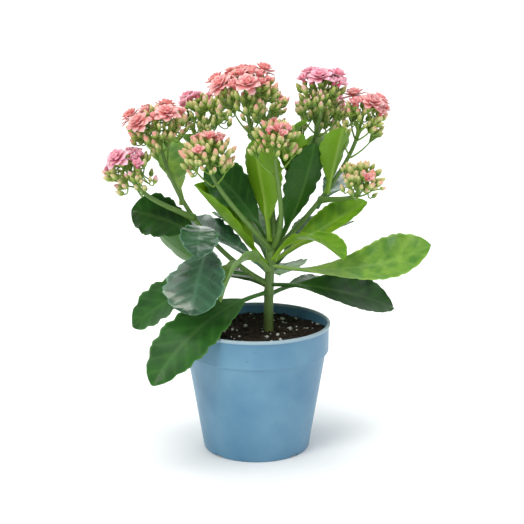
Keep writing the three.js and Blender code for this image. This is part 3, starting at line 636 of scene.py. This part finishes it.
def nearest(anchors, roots):
    # for each root the anchor at the least distance
    return anchors[np.argmin(np.linalg.norm(roots[:, None] - anchors[None], axis=2), 1)]


# Buds come as rows of root, facing, size, tone, where the pedicel starts and whether it has opened
def domeBuds(name, salt, anchors):
    # those on the dome have salt 0 and open in part; those of salt 1 hang under it and stay closed
    _, _, turn, _, ripeness, _ = heads[name]
    share, azimuth, index = budPlaces(name, (umbel["density"], umbel["lowDensity"])[salt], salt)
    ripe = scatter(index, turn + 4) < ripeness * (share < umbel["openShare"]) * (salt == 0)
    if salt == 0:
        drop = umbel["stagger"] * scatter(index, turn)
    else:
        drop = mix(*umbel["lowDrop"], scatter(index, turn + 7))
        share = mix(*umbel["lowShare"], share)
    place, facing = onDome(name, share, azimuth, drop)
    lean = np.stack([scatter(index, turn + s) for s in (11, 12, 13)], -1) - 0.5
    facing = unit(facing + umbel["unruly"] * lean)
    size = mix(*umbel["budSizes"], scatter(index, turn + 1)) * (umbel["lowSize"] if salt else 1)
    root = place - facing * umbel["budLength"] * size[:, None]
    return root, facing, size, scatter(index, turn + 2), nearest(anchors, root), ripe


def shootBuds(name, ends, out):
    # a golden-angle fan of buds round the way in which each shoot points
    turn, axis = heads[name][2], headAxes[name]
    index = np.arange(len(ends) * shoots["buds"])
    shoot = index // shoots["buds"]
    azimuth = np.radians(umbel["goldenAngle"] * index + turn)[:, None]
    across = unit(np.cross(out[shoot], [0.3, 0.2, 1.0]))
    over = np.cross(out[shoot], across)
    lean = shoots["spread"] * np.sqrt((index % shoots["buds"]) / shoots["buds"])[:, None]
    around = across * np.cos(azimuth) + over * np.sin(azimuth)
    facing = unit(out[shoot] + around * lean + axis * shoots["budClimb"])
    pedicel = shoots["pedicel"] * mix(*shoots["pedicels"], scatter(index, turn + 21))
    size = mix(*shoots["sizes"], scatter(index, turn + 22))
    root = ends[shoot] + facing * pedicel[:, None]
    return root, facing, size, 0.8 * scatter(index, turn + 23), ends[shoot], np.zeros(len(index), bool)


def headShapes(name):
    # the green of a head as one shape, its closed buds as another, and where its buds have opened
    foot, axis, flowers = np.array(stalks[name][3], float), headAxes[name], heads[name][5]
    ends = rayEnds(name)
    fork = np.repeat((foot + axis * umbel["rayStart"])[None], len(ends), 0)
    upward = unit((ends - fork) + axis * np.linalg.norm(ends - fork, axis=1, keepdims=True) * 0.5)
    rays = bent(fork, ends, upward, 9, 0.5)
    knob = foot + axis * np.array(umbel["knobRise"])[:, None]
    shootStarts, shootEnds, shootFacing = sideShoots(name)
    side = bent(shootStarts, shootEnds, shootFacing, 8, 0.4)
    green = [
        tubes(knob[None], umbel["knobRadii"], 12, greenTone=0.3),
        tubes(rays, np.linspace(umbel["rayRadius"], umbel["pedicelRadius"], 9)[None], 8, greenTone=0.4),
        tubes(side, np.linspace(shoots["radius"], umbel["pedicelRadius"], 8)[None], 8, greenTone=0.35),
    ]
    anchors = np.concatenate([rays[:, row] for row in umbel["forks"]] + [ends])

    groups = [domeBuds(name, salt, anchors) for salt in (0, 1)] + [shootBuds(name, shootEnds, shootFacing)]
    root, facing, size, tone, near, ripe = (np.concatenate(column) for column in zip(*groups))
    length = umbel["budLength"] * size
    pedicels = bent(near, root + facing * 0.4, facing, 6, 0.45)
    green.append(tubes(pedicels, umbel["pedicelRadius"], 6, greenTone=tone[:, None]))
    green.append(standing(root, facing, cupProfile, length, 8, greenTone=tone))
    shut = ~ripe
    buds = standing(root[shut], facing[shut], budProfile, length[shut], 8, twist=0.9, budTone=tone[shut])
    opening = [(root[i], facing[i], size[i]) for i in np.flatnonzero(ripe)]

    if flowers:
        spots = np.array(flowers, float)
        place, facing = onDome(name, spots[:, 0], spots[:, 1], np.zeros(len(flowers)))
        root = place - facing * (umbel["calyxDepth"] + umbel["calyxFoot"])
        stalk = bent(nearest(anchors, root), root, facing, 7, 0.45)
        length = np.full(len(flowers), float(umbel["calyxLength"]))
        green.append(tubes(stalk, umbel["calyxStalk"], 8, greenTone=0.5))
        green.append(standing(root, facing, calyxProfile, length, 8, greenTone=0.5))
    return joined(green), buds, opening


def headMaterial(name):
    # thin pedicels and calyx cups: soft yellow-green, lighter towards the tips of the sepals
    waxy = {"IOR": 1.42, "Coat Weight": 0.1, "Coat Roughness": 0.3}
    material, tree, shader, place = newMaterial(name, **waxy)
    grain = {"Vector": place, "Scale": 500, "Detail": 3}  # mottling of 2 mm
    grain = addNode(tree, "ShaderNodeTexNoise", "Fac", grain)
    tone = addNode(tree, "ShaderNodeAttribute", "Fac", {}, attribute_name="greenTone")
    climb = addNode(tree, "ShaderNodeAttribute", "Fac", {}, attribute_name="climb")
    layers = [(tone, linear(umbel["paleGreen"])), (climb, linear(umbel["sepalTip"]))]
    skin = layered(tree, linear(umbel["green"]), layers)
    finishSkin(tree, shader, skin, (grain, 0.4, 0.58), (grain, 0.2, 0.0003), (0.15, 0.001))
    return material


def budMaterial(name, blush):
    # closed bud: green where it leaves its cup, cream above, and blushed at the tip of the riper ones
    material, tree, shader, place = newMaterial(name, **{"IOR": 1.4, "Sheen Weight": 0.1})
    grain = {"Vector": place, "Scale": 600, "Detail": 3}  # mottling of 1.7 mm
    grain = addNode(tree, "ShaderNodeTexNoise", "Fac", grain)
    climb = addNode(tree, "ShaderNodeAttribute", "Fac", {}, attribute_name="climb")
    tone = addNode(tree, "ShaderNodeAttribute", "Fac", {}, attribute_name="budTone")
    ripe = addNode(tree, "ShaderNodeMath", 0, {0: climb, 1: tone}, operation="ADD")
    low = addNode(tree, "ShaderNodeMapRange", "Result", {"Value": ripe, 1: 0.55, 2: 1.25})
    high = addNode(tree, "ShaderNodeMapRange", "Result", {"Value": ripe, 1: 1.2, 2: 1.75})
    layers = [(low, linear(umbel["budCream"])), (high, linear(blush))]
    skin = layered(tree, linear(umbel["budGreen"]), layers)
    finishSkin(tree, shader, skin, (grain, 0.42, 0.6), (grain, 0.2, 0.0003), (0.2, 0.0012))
    return material


# The open and half-open flowers
bloom = {
    "petals": 36, "halfOpenPetals": 15, "shutShare": (0.25, 0.6),
    "halfOpenSizes": (0.7, 1.0), "halfOpenRise": 1.2,
    "length": (8.9, 3.4), "halfWidth": (3.1, 1.7),  # of the outermost and the innermost petal, in mm
    "pitch": (-2, 82), "baseHeight": (3.1, 5.0), "baseRadius": (1.1, 0.2),
    "curl": (-20, 30),  # how far a petal bends down or up along its length, in degrees
    "lengthVaries": 0.14, "turnVaries": 14, "pitchVaries": 10, "curlVaries": 20,  # from petal to petal
    "hollow": 0.22, "ruffle": 0.3, "thickness": 0.3, "narrowest": 0.16,
    "throat": (1.1, 1.4, 1.5, 1.4, 0.8), "throatHeight": 5.2,
    "rows": 6, "around": 8, "seedStep": 7,
}
petalColours = {  # heart, middle and edge of the flower, and the blush of its buds
    "coral": ("#ea6f72", "#f2a6a3", "#f6d0cb", "#eba596"),
    "rose": ("#e86f92", "#f5afc0", "#fad6df", "#f0b0ba"),
    "salmon": ("#e27277", "#eda2a0", "#f4cfcc", "#eaa79c"),
}


def bloomShape(seed, count, size=1.0, closed=0.0):
    # Petals in a golden-angle spiral from the outside in. A petal's rib is an arc that starts at its
    # pitch and bends by its curl, its half width is sin(pi s^1.7)^0.6 of the widest, and its edges
    # are lifted by the hollow. A half-closed flower lacks the outer part of the spiral.
    index = np.arange(count)
    inner = mix(closed, 1, index / (count - 1))
    vary = [scatter(index, seed + salt) - 0.5 for salt in range(3)]
    azimuth = umbel["goldenAngle"] * index + bloom["turnVaries"] * vary[0] + 90 * scatter(seed, 1)
    azimuth = np.radians(azimuth)
    length = mix(*bloom["length"], inner) * (1 + bloom["lengthVaries"] * vary[0])
    half = mix(*bloom["halfWidth"], inner)
    pitch = np.radians(mix(*bloom["pitch"], inner ** 0.85) + bloom["pitchVaries"] * vary[1])
    curl = np.radians(mix(*bloom["curl"], inner) + bloom["curlVaries"] * vary[2])
    s = np.linspace(0, 1, bloom["rows"]) ** 0.85
    angle = pitch[:, None] + curl[:, None] * s
    step = length[:, None] * np.diff(s, prepend=0)
    run = np.cumsum(np.cos(angle) * step, 1) + mix(*bloom["baseRadius"], inner)[:, None]
    climb = np.cumsum(np.sin(angle) * step, 1) + mix(*bloom["baseHeight"], inner)[:, None]
    outward = np.stack([np.cos(azimuth), np.sin(azimuth), 0 * azimuth], -1)[:, None]
    aside = np.stack([-np.sin(azimuth), np.cos(azimuth), 0 * azimuth], -1)[:, None, None]
    up = np.array([0, 0, 1.0])
    rib = outward * run[..., None] + up * climb[..., None]
    lift = -outward * np.sin(angle)[..., None] + up * np.cos(angle)[..., None]
    phi = np.linspace(0, 2 * np.pi, bloom["around"], endpoint=False)
    t, above = np.cos(phi), np.sin(phi)
    wide = half[:, None] * np.maximum(bloom["narrowest"], np.sin(np.pi * s ** 1.7).clip(0) ** 0.6)
    wave = np.sin(7 * s[None, :, None] + 6.28 * scatter(index, seed + 3)[:, None, None]) * t ** 3
    tall = bloom["hollow"] * wide[..., None] * t ** 2 + bloom["ruffle"] * wave
    tall = tall + above * bloom["thickness"] / 2
    rings = rib[:, :, None] + aside * (wide[..., None] * t)[..., None] + lift[:, :, None] * tall[..., None]
    petals = closedSkins(
        rings * size,
        petalInner=inner[:, None, None],
        petalTip=s[None, :, None],
        petalTone=scatter(index, seed + 4)[:, None, None],
    )
    radii = np.array(bloom["throat"])[None] * size
    throat = np.linspace([0, 0, 0], [0, 0, bloom["throatHeight"]], radii.size)[None] * size
    return joined([petals, tubes(throat, radii, 10, petalInner=0.6, petalTip=0, petalTone=0.5)])


def turnFromUp(facing):
    # the shortest turn that takes +Z to facing: I + K + K K / (1 + cos)
    axis = np.cross([0, 0, 1.0], facing)
    k = np.array([[0, -axis[2], axis[1]], [axis[2], 0, -axis[0]], [-axis[1], axis[0], 0]])
    return np.eye(3) + k + k @ k / (1 + facing[2])


def placed(shape, facing, place):
    # the shape with its +Z turned to facing, moved to its place
    return {**shape, "points": shape["points"] @ turnFromUp(facing).T + place}


def petalMaterial(name, heart, middle, edge):
    # soft matt petals: deep colour in the heart, paling to their edges
    soft = {"IOR": 1.4, "Sheen Weight": 0.2, "Sheen Roughness": 0.4}
    material, tree, shader, place = newMaterial(name, **soft)
    grain = {"Vector": place, "Scale": 900, "Detail": 4}  # mottling of 1.1 mm
    grain = addNode(tree, "ShaderNodeTexNoise", "Fac", grain)
    mark = {}
    for key in ("petalInner", "petalTip", "petalTone"):
        mark[key] = addNode(tree, "ShaderNodeAttribute", "Fac", {}, attribute_name=key)
    depth = addNode(tree, "ShaderNodeMapRange", "Result", {"Value": mark["petalInner"], 1: 0.3, 2: 1.0})
    tip = addNode(tree, "ShaderNodeMapRange", "Result", {"Value": mark["petalTip"], 2: 0.6})
    tone = addNode(tree, "ShaderNodeMapRange", "Result", {"Value": mark["petalTone"], 3: 0.3, 4: 0.95})
    pale = addNode(tree, "ShaderNodeMath", 0, {0: mark["petalTip"], 1: 3.0}, operation="POWER")
    pale = addNode(tree, "ShaderNodeMath", 0, {0: pale, 1: tone}, operation="MULTIPLY")
    inner = layered(tree, linear(middle), [(depth, linear(heart))])
    skin = layered(tree, linear(heart), [(tip, inner), (pale, linear(edge))])
    finishSkin(tree, shader, skin, (grain, 0.5, 0.68), (grain, 0.2, 0.0003), (0.2, 0.001))
    return material


headPaint = headMaterial("flowerStalkSkin")
budPaint, petalPaint = {}, {}
for tint, (heart, middle, edge, blush) in petalColours.items():
    budPaint[tint] = budMaterial("budSkin_" + tint, blush)
    petalPaint[tint] = petalMaterial("petal_" + tint, heart, middle, edge)
seed = 0
for name, (_, _, _, tint, ripeness, flowers) in heads.items():
    green, buds, opening = headShapes(name)
    makePiece("head_" + name, green, headPaint, "bud", "head_" + name)
    makePiece("buds_" + name, buds, budPaint[tint], "bud", "head_" + name)
    halfOpen = []
    for root, facing, size in opening:
        seed += bloom["seedStep"]
        size = mix(*bloom["halfOpenSizes"], ripeness) * size
        shape = bloomShape(seed, bloom["halfOpenPetals"], size, mix(*bloom["shutShare"], scatter(seed, 9)))
        halfOpen.append(placed(shape, facing, root + facing * bloom["halfOpenRise"]))
    if halfOpen:
        makePiece("opening_" + name, joined(halfOpen), petalPaint[tint], "petal", "head_" + name)
    for count, (share, azimuth) in enumerate(flowers, 1):
        (place,), (facing,) = onDome(name, share, azimuth, 0)
        seed += bloom["seedStep"]
        shape = placed(bloomShape(seed, bloom["petals"]), facing, place - facing * umbel["calyxDepth"])
        node = f"flower_{name}_{count}"
        makePiece(node, shape, petalPaint[tint], "petal", node)
print("flower heads made")


# The pot
pot = {
    "height": 92, "rim": 52.5, "foot": 38, "wall": 1.1, "band": 21, "step": 2.2, "taper": 0.7,
    "lip": 0.9, "lipDepth": 2.4, "bead": 2.7, "beadOut": 0.9, "edge": 0.5, "shoulder": 0.6,
    "chamfer": 0.8, "round": 0.7, "sharpFrom": 40,  # in degrees
    "footRecess": 2, "footRing": 5, "boss": 9,
    "holes": 8, "holeRadius": 3.4, "holeCircle": 20, "holeSides": 24, "holeCut": (-4, 8),
    "notches": 4, "notchWidth": 7, "notchCut": (-2, 1.4),  # cuts from and to these heights
    "sides": 160, "axis": 0.01,  # the ends of the outline stand this near the axis
    # the pale lip colour here is a painted highlight along the top of the rim
    "blue": "#5083a3", "pale": "#6897b2", "lipHighlight": "#9bb4bf", "scuff": "#4a5a5e",
    "lipHighlightFrom": 2.6, "lipHighlightTo": 1.4,  # the painted highlight on the lip fades in over this stretch below the top
}


def rounded(corners, radius, steps=5):
    # each corner becomes a quadratic curve that starts and ends at the radius from it, or at a
    # third of the shorter side
    corners = np.array(corners, float)
    points = [corners[0]]
    for before, corner, after in zip(corners, corners[1:], corners[2:]):
        back, on = before - corner, after - corner
        cut = min(radius, np.linalg.norm(back) / 3, np.linalg.norm(on) / 3)
        a, b = corner + unit(back) * cut, corner + unit(on) * cut
        t = np.linspace(0, 1, steps)[:, None]
        points.extend(a * (1 - t) ** 2 + 2 * corner * t * (1 - t) + b * t ** 2)
    points.append(corners[-1])
    return np.array(points)


def turnedShape(profile, sides):
    # a profile of (radius, height) points carried round the axis
    angle = np.linspace(0, 2 * np.pi, sides, endpoint=False)
    radius, height = profile[:, :1], profile[:, 1:]
    rings = np.stack([radius * np.cos(angle), radius * np.sin(angle), height + 0 * angle], -1)
    return closedSkins(rings[None])


def potShape():
    # the outline runs from the middle of the foot up the outside, over the rim and down the inside
    rim, foot, wall, top, edge = pot["rim"], pot["foot"], pot["wall"], pot["height"], pot["edge"]
    step, recess, chamfer = top - pot["band"], pot["footRecess"], pot["chamfer"]
    band = rim - pot["taper"]
    body, ring, shoulder = band - pot["step"], foot - pot["footRing"], pot["shoulder"]
    outline = [
        (pot["axis"], 0), (pot["boss"], 0), (pot["boss"], recess), (ring, recess), (ring, 0),
        (foot - chamfer, 0), (foot, chamfer), (body, step), (band - shoulder / 2, step + shoulder),
        (rim - pot["beadOut"], top - pot["bead"]), (rim, top - pot["bead"] + edge), (rim, top - edge),
        (rim - edge, top), (rim - wall - pot["lip"], top),
        (rim - wall - edge, top - pot["lipDepth"]),
        (band - wall, step + wall + shoulder), (body - wall, step + wall),
        (foot - wall, recess + wall), (pot["axis"], recess + wall),
    ]
    return turnedShape(rounded(outline, pot["round"]), pot["sides"])


def cutter(name, ring, low, high):
    # a closed prism over a ring of corners, each a complex number x + iy
    count = len(ring)
    points = [(corner.real, corner.imag, z) for z in (low, high) for corner in ring]
    sides = [(i, (i + 1) % count, count + (i + 1) % count, count + i) for i in range(count)]
    mesh = bpy.data.meshes.new(name)
    mesh.from_pydata(np.array(points) * mm, [], sides + [range(count)[::-1], range(count, 2 * count)])
    piece = bpy.data.objects.new(name, mesh)
    bpy.context.scene.collection.objects.link(piece)
    return piece


def cutOut(piece, tools):
    # each tool is taken away from the piece by a Boolean, which is applied, and then removed
    for tool in tools:
        cut = piece.modifiers.new("cut", "BOOLEAN")
        cut.object, cut.operation, cut.solver = tool, "DIFFERENCE", "EXACT"
    graph = bpy.context.evaluated_depsgraph_get()
    mesh = bpy.data.meshes.new_from_object(piece.evaluated_get(graph))
    piece.modifiers.clear()
    old, piece.data = piece.data, mesh
    bpy.data.meshes.remove(old)
    for tool in tools:
        bpy.data.objects.remove(tool)


def potMaterial(name):
    # thin moulded polypropylene: satin pale blue-grey, with a painted highlight along the top of the rim,
    # faintly scuffed
    material, tree, shader, place = newMaterial(name, **{"IOR": 1.49, "Coat Weight": 0.05})
    height = addNode(tree, "ShaderNodeSeparateXYZ", "Z", {"Vector": place})
    cloud = {"Vector": place, "Scale": 28, "Detail": 5}  # clouds of 36 mm
    cloud = addNode(tree, "ShaderNodeTexNoise", "Fac", cloud)
    flow = addNode(tree, "ShaderNodeMapping", "Vector", {"Vector": place, "Scale": (1, 1, 0.08)})
    streak = {"Vector": flow, "Scale": 260, "Detail": 4}  # streaks 4 mm wide and 48 mm long
    streak = addNode(tree, "ShaderNodeTexNoise", "Fac", streak)
    speck = {"Vector": place, "Scale": 160, "Detail": 6}  # scuffs of 6 mm and less
    speck = addNode(tree, "ShaderNodeTexNoise", "Fac", speck)
    tone = addNode(tree, "ShaderNodeMapRange", "Result", {"Value": cloud, 1: 0.35, 2: 0.7})
    # painted highlight: the top few millimetres of the rim lip are painted paler, as if lit from above
    low, high = ((pot["height"] - pot[key]) * mm for key in ("lipHighlightFrom", "lipHighlightTo"))
    top = addNode(tree, "ShaderNodeMapRange", "Result", {"Value": height, 1: low, 2: high})
    worn = addNode(tree, "ShaderNodeMapRange", "Result", {"Value": speck, 1: 0.7, 2: 0.76, 4: 0.6})
    layers = [(tone, linear(pot["pale"])), (top, linear(pot["lipHighlight"])), (worn, linear(pot["scuff"]))]
    skin = layered(tree, linear(pot["blue"]), layers)
    finishSkin(tree, shader, skin, (streak, 0.34, 0.52), (streak, 0.08, 0.0005), (0.05, 0.002))
    return material


potPiece = makePiece("pot", potShape(), potMaterial("mouldedPolypropylene"), "pot", "pot")
tools = []
for k in range(pot["holes"]):
    middle = pot["holeCircle"] * np.exp(2j * np.pi * k / pot["holes"])
    ring = middle + pot["holeRadius"] * np.exp(2j * np.pi * np.arange(pot["holeSides"]) / pot["holeSides"])
    tools.append(cutter(f"hole{k}", ring, *pot["holeCut"]))
for k in range(pot["notches"]):
    turn = np.exp(2j * np.pi * (k + 0.5) / pot["notches"])
    middle, reach, side = pot["foot"] - pot["footRing"] / 2, 1.5 * pot["footRing"], 0.5j * pot["notchWidth"]
    ring = turn * (middle + np.array([-reach - side, reach - side, reach + side, -reach + side]))
    tools.append(cutter(f"notch{k}", ring, *pot["notchCut"]))
cutOut(potPiece, tools)
potPiece.data.shade_smooth()
potPiece.data.set_sharp_from_angle(angle=np.radians(pot["sharpFrom"]))
print("pot made")


# The potting soil
soil = {
    "below": 9, "lumps": 0.9, "fineLumps": 0.45, "roughLumps": 0.2, "clear": 0.3,
    "rings": 70, "sides": 180, "axis": 0.01,
    "crumbs": 900, "crumbSize": (0.5, 1.9), "crumbFlat": 0.7,
    "perlite": 90, "perliteSize": (0.7, 1.7), "perliteFlat": 0.8,
    "crumbRings": 4, "crumbSides": 7, "bumps": 0.45, "stretch": 0.8, "sit": 0.25, "fromWall": 3, "seed": 5,
    "peat": ("#1d1813", "#3b2e22", "#4a3a2a"), "white": ("#cfccc0", "#dcdad0", "#f2f1ec"),
}


def soilHeight(x, y):
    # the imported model's broad lumps, and finer ones from sines that cross at odd angles
    broad = 1 + np.sin(x / 5.1 + 1) * np.cos(y / 4.3) + 0.6 * np.sin((x + y) / 2.9)
    fine = np.sin(x * 1.9 + 2 * np.sin(y * 0.7)) * np.sin(y * 2.3 + 1.7 * np.sin(x * 0.9))
    rough = np.sin(x * 4.7 + 3 * np.sin(y * 1.9)) * np.sin(y * 5.1 + 2.3 * np.sin(x * 2.1))
    fine = soil["fineLumps"] * fine + soil["roughLumps"] * rough
    return pot["height"] - soil["below"] + soil["lumps"] * broad + fine


def soilShape():
    # rings that follow the inside of the pot up, and then run inwards over the surface
    wall = pot["wall"] + soil["clear"]
    step = pot["height"] - pot["band"] + pot["wall"]
    band = pot["rim"] - pot["taper"] - wall
    low = pot["footRecess"] + wall
    foot = [soil["axis"], pot["foot"] - wall, band - pot["step"], band]
    radius = np.concatenate([foot, band * np.linspace(1, 0.004, soil["rings"])])[:, None]
    angle = np.linspace(0, 2 * np.pi, soil["sides"], endpoint=False)
    x, y = radius * np.cos(angle), radius * np.sin(angle)
    height = soilHeight(x, y)
    height[:4] = np.array([low, low, step, step + 1])[:, None]
    return closedSkins(np.stack([x, y, height], -1)[None])


def crumbShape(random, count, size, flat):
    # small lumps: a sphere of few rings, pushed in and out by random amounts, laid on the soil
    rings, sides = soil["crumbRings"], soil["crumbSides"]
    rise = np.linspace(0.12, 0.88, rings)[:, None] * np.pi
    angle = np.linspace(0, 2 * np.pi, sides, endpoint=False)
    ball = [np.sin(rise) * np.cos(angle), np.sin(rise) * np.sin(angle), np.cos(rise) + 0 * angle]
    ball = np.stack(ball, -1)[None]
    reach = pot["rim"] - pot["wall"] - pot["taper"] - soil["fromWall"]
    radius = reach * np.sqrt(random.random(count))
    turn = random.random(count) * 2 * np.pi
    x, y = radius * np.cos(turn), radius * np.sin(turn)
    scale = mix(*size, random.random(count) ** 2)[:, None, None, None] * [1, 1, flat]
    bumps = 1 + soil["bumps"] * (random.random((count, rings, sides, 1)) - 0.5)
    stretch = 1 + soil["stretch"] * (random.random((count, 1, 1, 3)) - 0.5)
    spin = random.random(count)[:, None, None] * 2 * np.pi
    lumps = spun(ball * bumps * stretch * scale, spin)
    place = np.stack([x, y, soilHeight(x, y) + soil["sit"] * scale[:, 0, 0, 2]], -1)
    tone = random.random(count)[:, None, None]
    return closedSkins(lumps + place[:, None, None], crumbTone=tone)


def grainMaterial(name, colours, scale):
    # peat and perlite: matt, its dark and light grains mixed, and some crumbs dried to a paler tone
    material, tree, shader, place = newMaterial(name, **{"IOR": 1.4})
    dark, light, dry = (linear(colour) for colour in colours)
    grain = {"Vector": place, "Scale": scale, "Detail": 7, "Roughness": 0.7}
    grain = addNode(tree, "ShaderNodeTexNoise", "Fac", grain)
    tone = addNode(tree, "ShaderNodeAttribute", "Fac", {}, attribute_name="crumbTone")
    pale = addNode(tree, "ShaderNodeMapRange", "Result", {"Value": grain, 1: 0.4, 2: 0.68})
    dried = addNode(tree, "ShaderNodeMapRange", "Result", {"Value": tone, 4: 0.55})
    skin = layered(tree, dark, [(pale, light), (dried, dry)])
    finishSkin(tree, shader, skin, (grain, 0.75, 0.98), (grain, 0.8, 0.0012))
    return material


random = np.random.default_rng(soil["seed"])
peatPaint = grainMaterial("dampPeat", soil["peat"], 900)  # grains of 1.1 mm
perlitePaint = grainMaterial("perliteGrain", soil["white"], 1500)  # grains of 0.7 mm
crumbs = crumbShape(random, soil["crumbs"], soil["crumbSize"], soil["crumbFlat"])
perlite = crumbShape(random, soil["perlite"], soil["perliteSize"], soil["perliteFlat"])
makePiece("potting_soil", soilShape(), peatPaint, "soil", "potting_soil")
makePiece("peat_crumbs", crumbs, peatPaint, "soil")
makePiece("perlite", perlite, perlitePaint, "soil")
print("soil made")


# Floor, light and camera
studio = {
    "elevation": 13, "lens": 85, "distance": 0.87, "aim": (0.004, 0, 0.135),
    "floor": "#fafaf8", "floorPale": "#fbfbfa", "sky": "#e9f0f8", "skyStrength": 0.42,
    "floorHalf": 4, "floorEnd": 3, "curveFrom": 0.8, "curve": 1.1,  # in metres
    "lamps": [  # place, what it lights where that isn't the plant, energy in watts, size, colour
        ((0, -0.1, 1.7), None, 22, 1.6, "#ffffff"),
        ((-0.8, -0.95, 1.0), None, 9, 0.6, "#fffaf2"),
        ((0.95, -0.7, 0.6), None, 2.5, 0.8, "#f2f6ff"),
        ((0, 0.9, 2.0), (0, 2.6, 0.5), 26, 1.8, "#ffffff"),
    ],
}


def makeFloor():
    # a sheet that lies flat and curves up behind: its height is the curve times the square of how
    # far it is beyond where the curve starts
    half, start = studio["floorHalf"], studio["curveFrom"]
    x = np.linspace(-half, half, 9)
    y = np.concatenate([np.linspace(-half, start, 5), np.linspace(start + 0.1, studio["floorEnd"], 16)])
    across, along = np.meshgrid(x, y, indexing="ij")
    height = studio["curve"] * np.maximum(0, along - start) ** 2
    i, j = np.meshgrid(np.arange(len(x) - 1), np.arange(len(y) - 1), indexing="ij")
    corner = (i * len(y) + j).ravel()
    faces = np.stack([corner, corner + len(y), corner + len(y) + 1, corner + 1], -1)
    mesh = bpy.data.meshes.new("floor")
    mesh.from_pydata(np.stack([across, along, height], -1).reshape(-1, 3), [], faces.tolist())
    mesh.shade_smooth()
    # matt backdrop paper: white, with clouds of 330 mm that are hardly there
    material, tree, shader, place = newMaterial("whiteBackdropPaper", **{"Roughness": 0.9})
    cloud = addNode(tree, "ShaderNodeTexNoise", "Fac", {"Vector": place, "Scale": 3})
    skin = layered(tree, linear(studio["floor"]), [(cloud, linear(studio["floorPale"]))])
    tree.links.new(skin, shader.inputs["Base Color"])
    mesh.materials.append(material)
    floor = bpy.data.objects.new("floor", mesh)
    bpy.context.scene.collection.objects.link(floor)


def aim(piece, place, target):
    # put at its place with -Z towards the target and Y up
    direction = Vector(target) - Vector(place)
    piece.location = place
    piece.rotation_euler = direction.to_track_quat("-Z", "Y").to_euler()


makeFloor()
for count, (place, target, energy, size, colour) in enumerate(studio["lamps"]):
    lamp = bpy.data.lights.new(f"lamp{count}", "AREA")
    lamp.energy, lamp.size, lamp.color = energy, size, linear(colour)[:3]
    holder = bpy.data.objects.new(f"lamp{count}", lamp)
    bpy.context.scene.collection.objects.link(holder)
    aim(holder, place, target or studio["aim"])

world = bpy.data.worlds.new("studio")
world.use_nodes = True
sky = world.node_tree.nodes["Background"]
sky.inputs["Color"].default_value = linear(studio["sky"])
sky.inputs["Strength"].default_value = studio["skyStrength"]
bpy.context.scene.world = world

camera = bpy.data.cameras.new("camera")
camera.lens = studio["lens"]
holder = bpy.data.objects.new("camera", camera)
bpy.context.scene.collection.objects.link(holder)
tilt = np.radians(studio["elevation"])
back = np.array([0, -np.cos(tilt), np.sin(tilt)])
aim(holder, np.array(studio["aim"]) + back * studio["distance"], studio["aim"])
bpy.context.scene.camera = holder
bpy.context.scene.view_settings.view_transform = "Standard"
print("studio made")
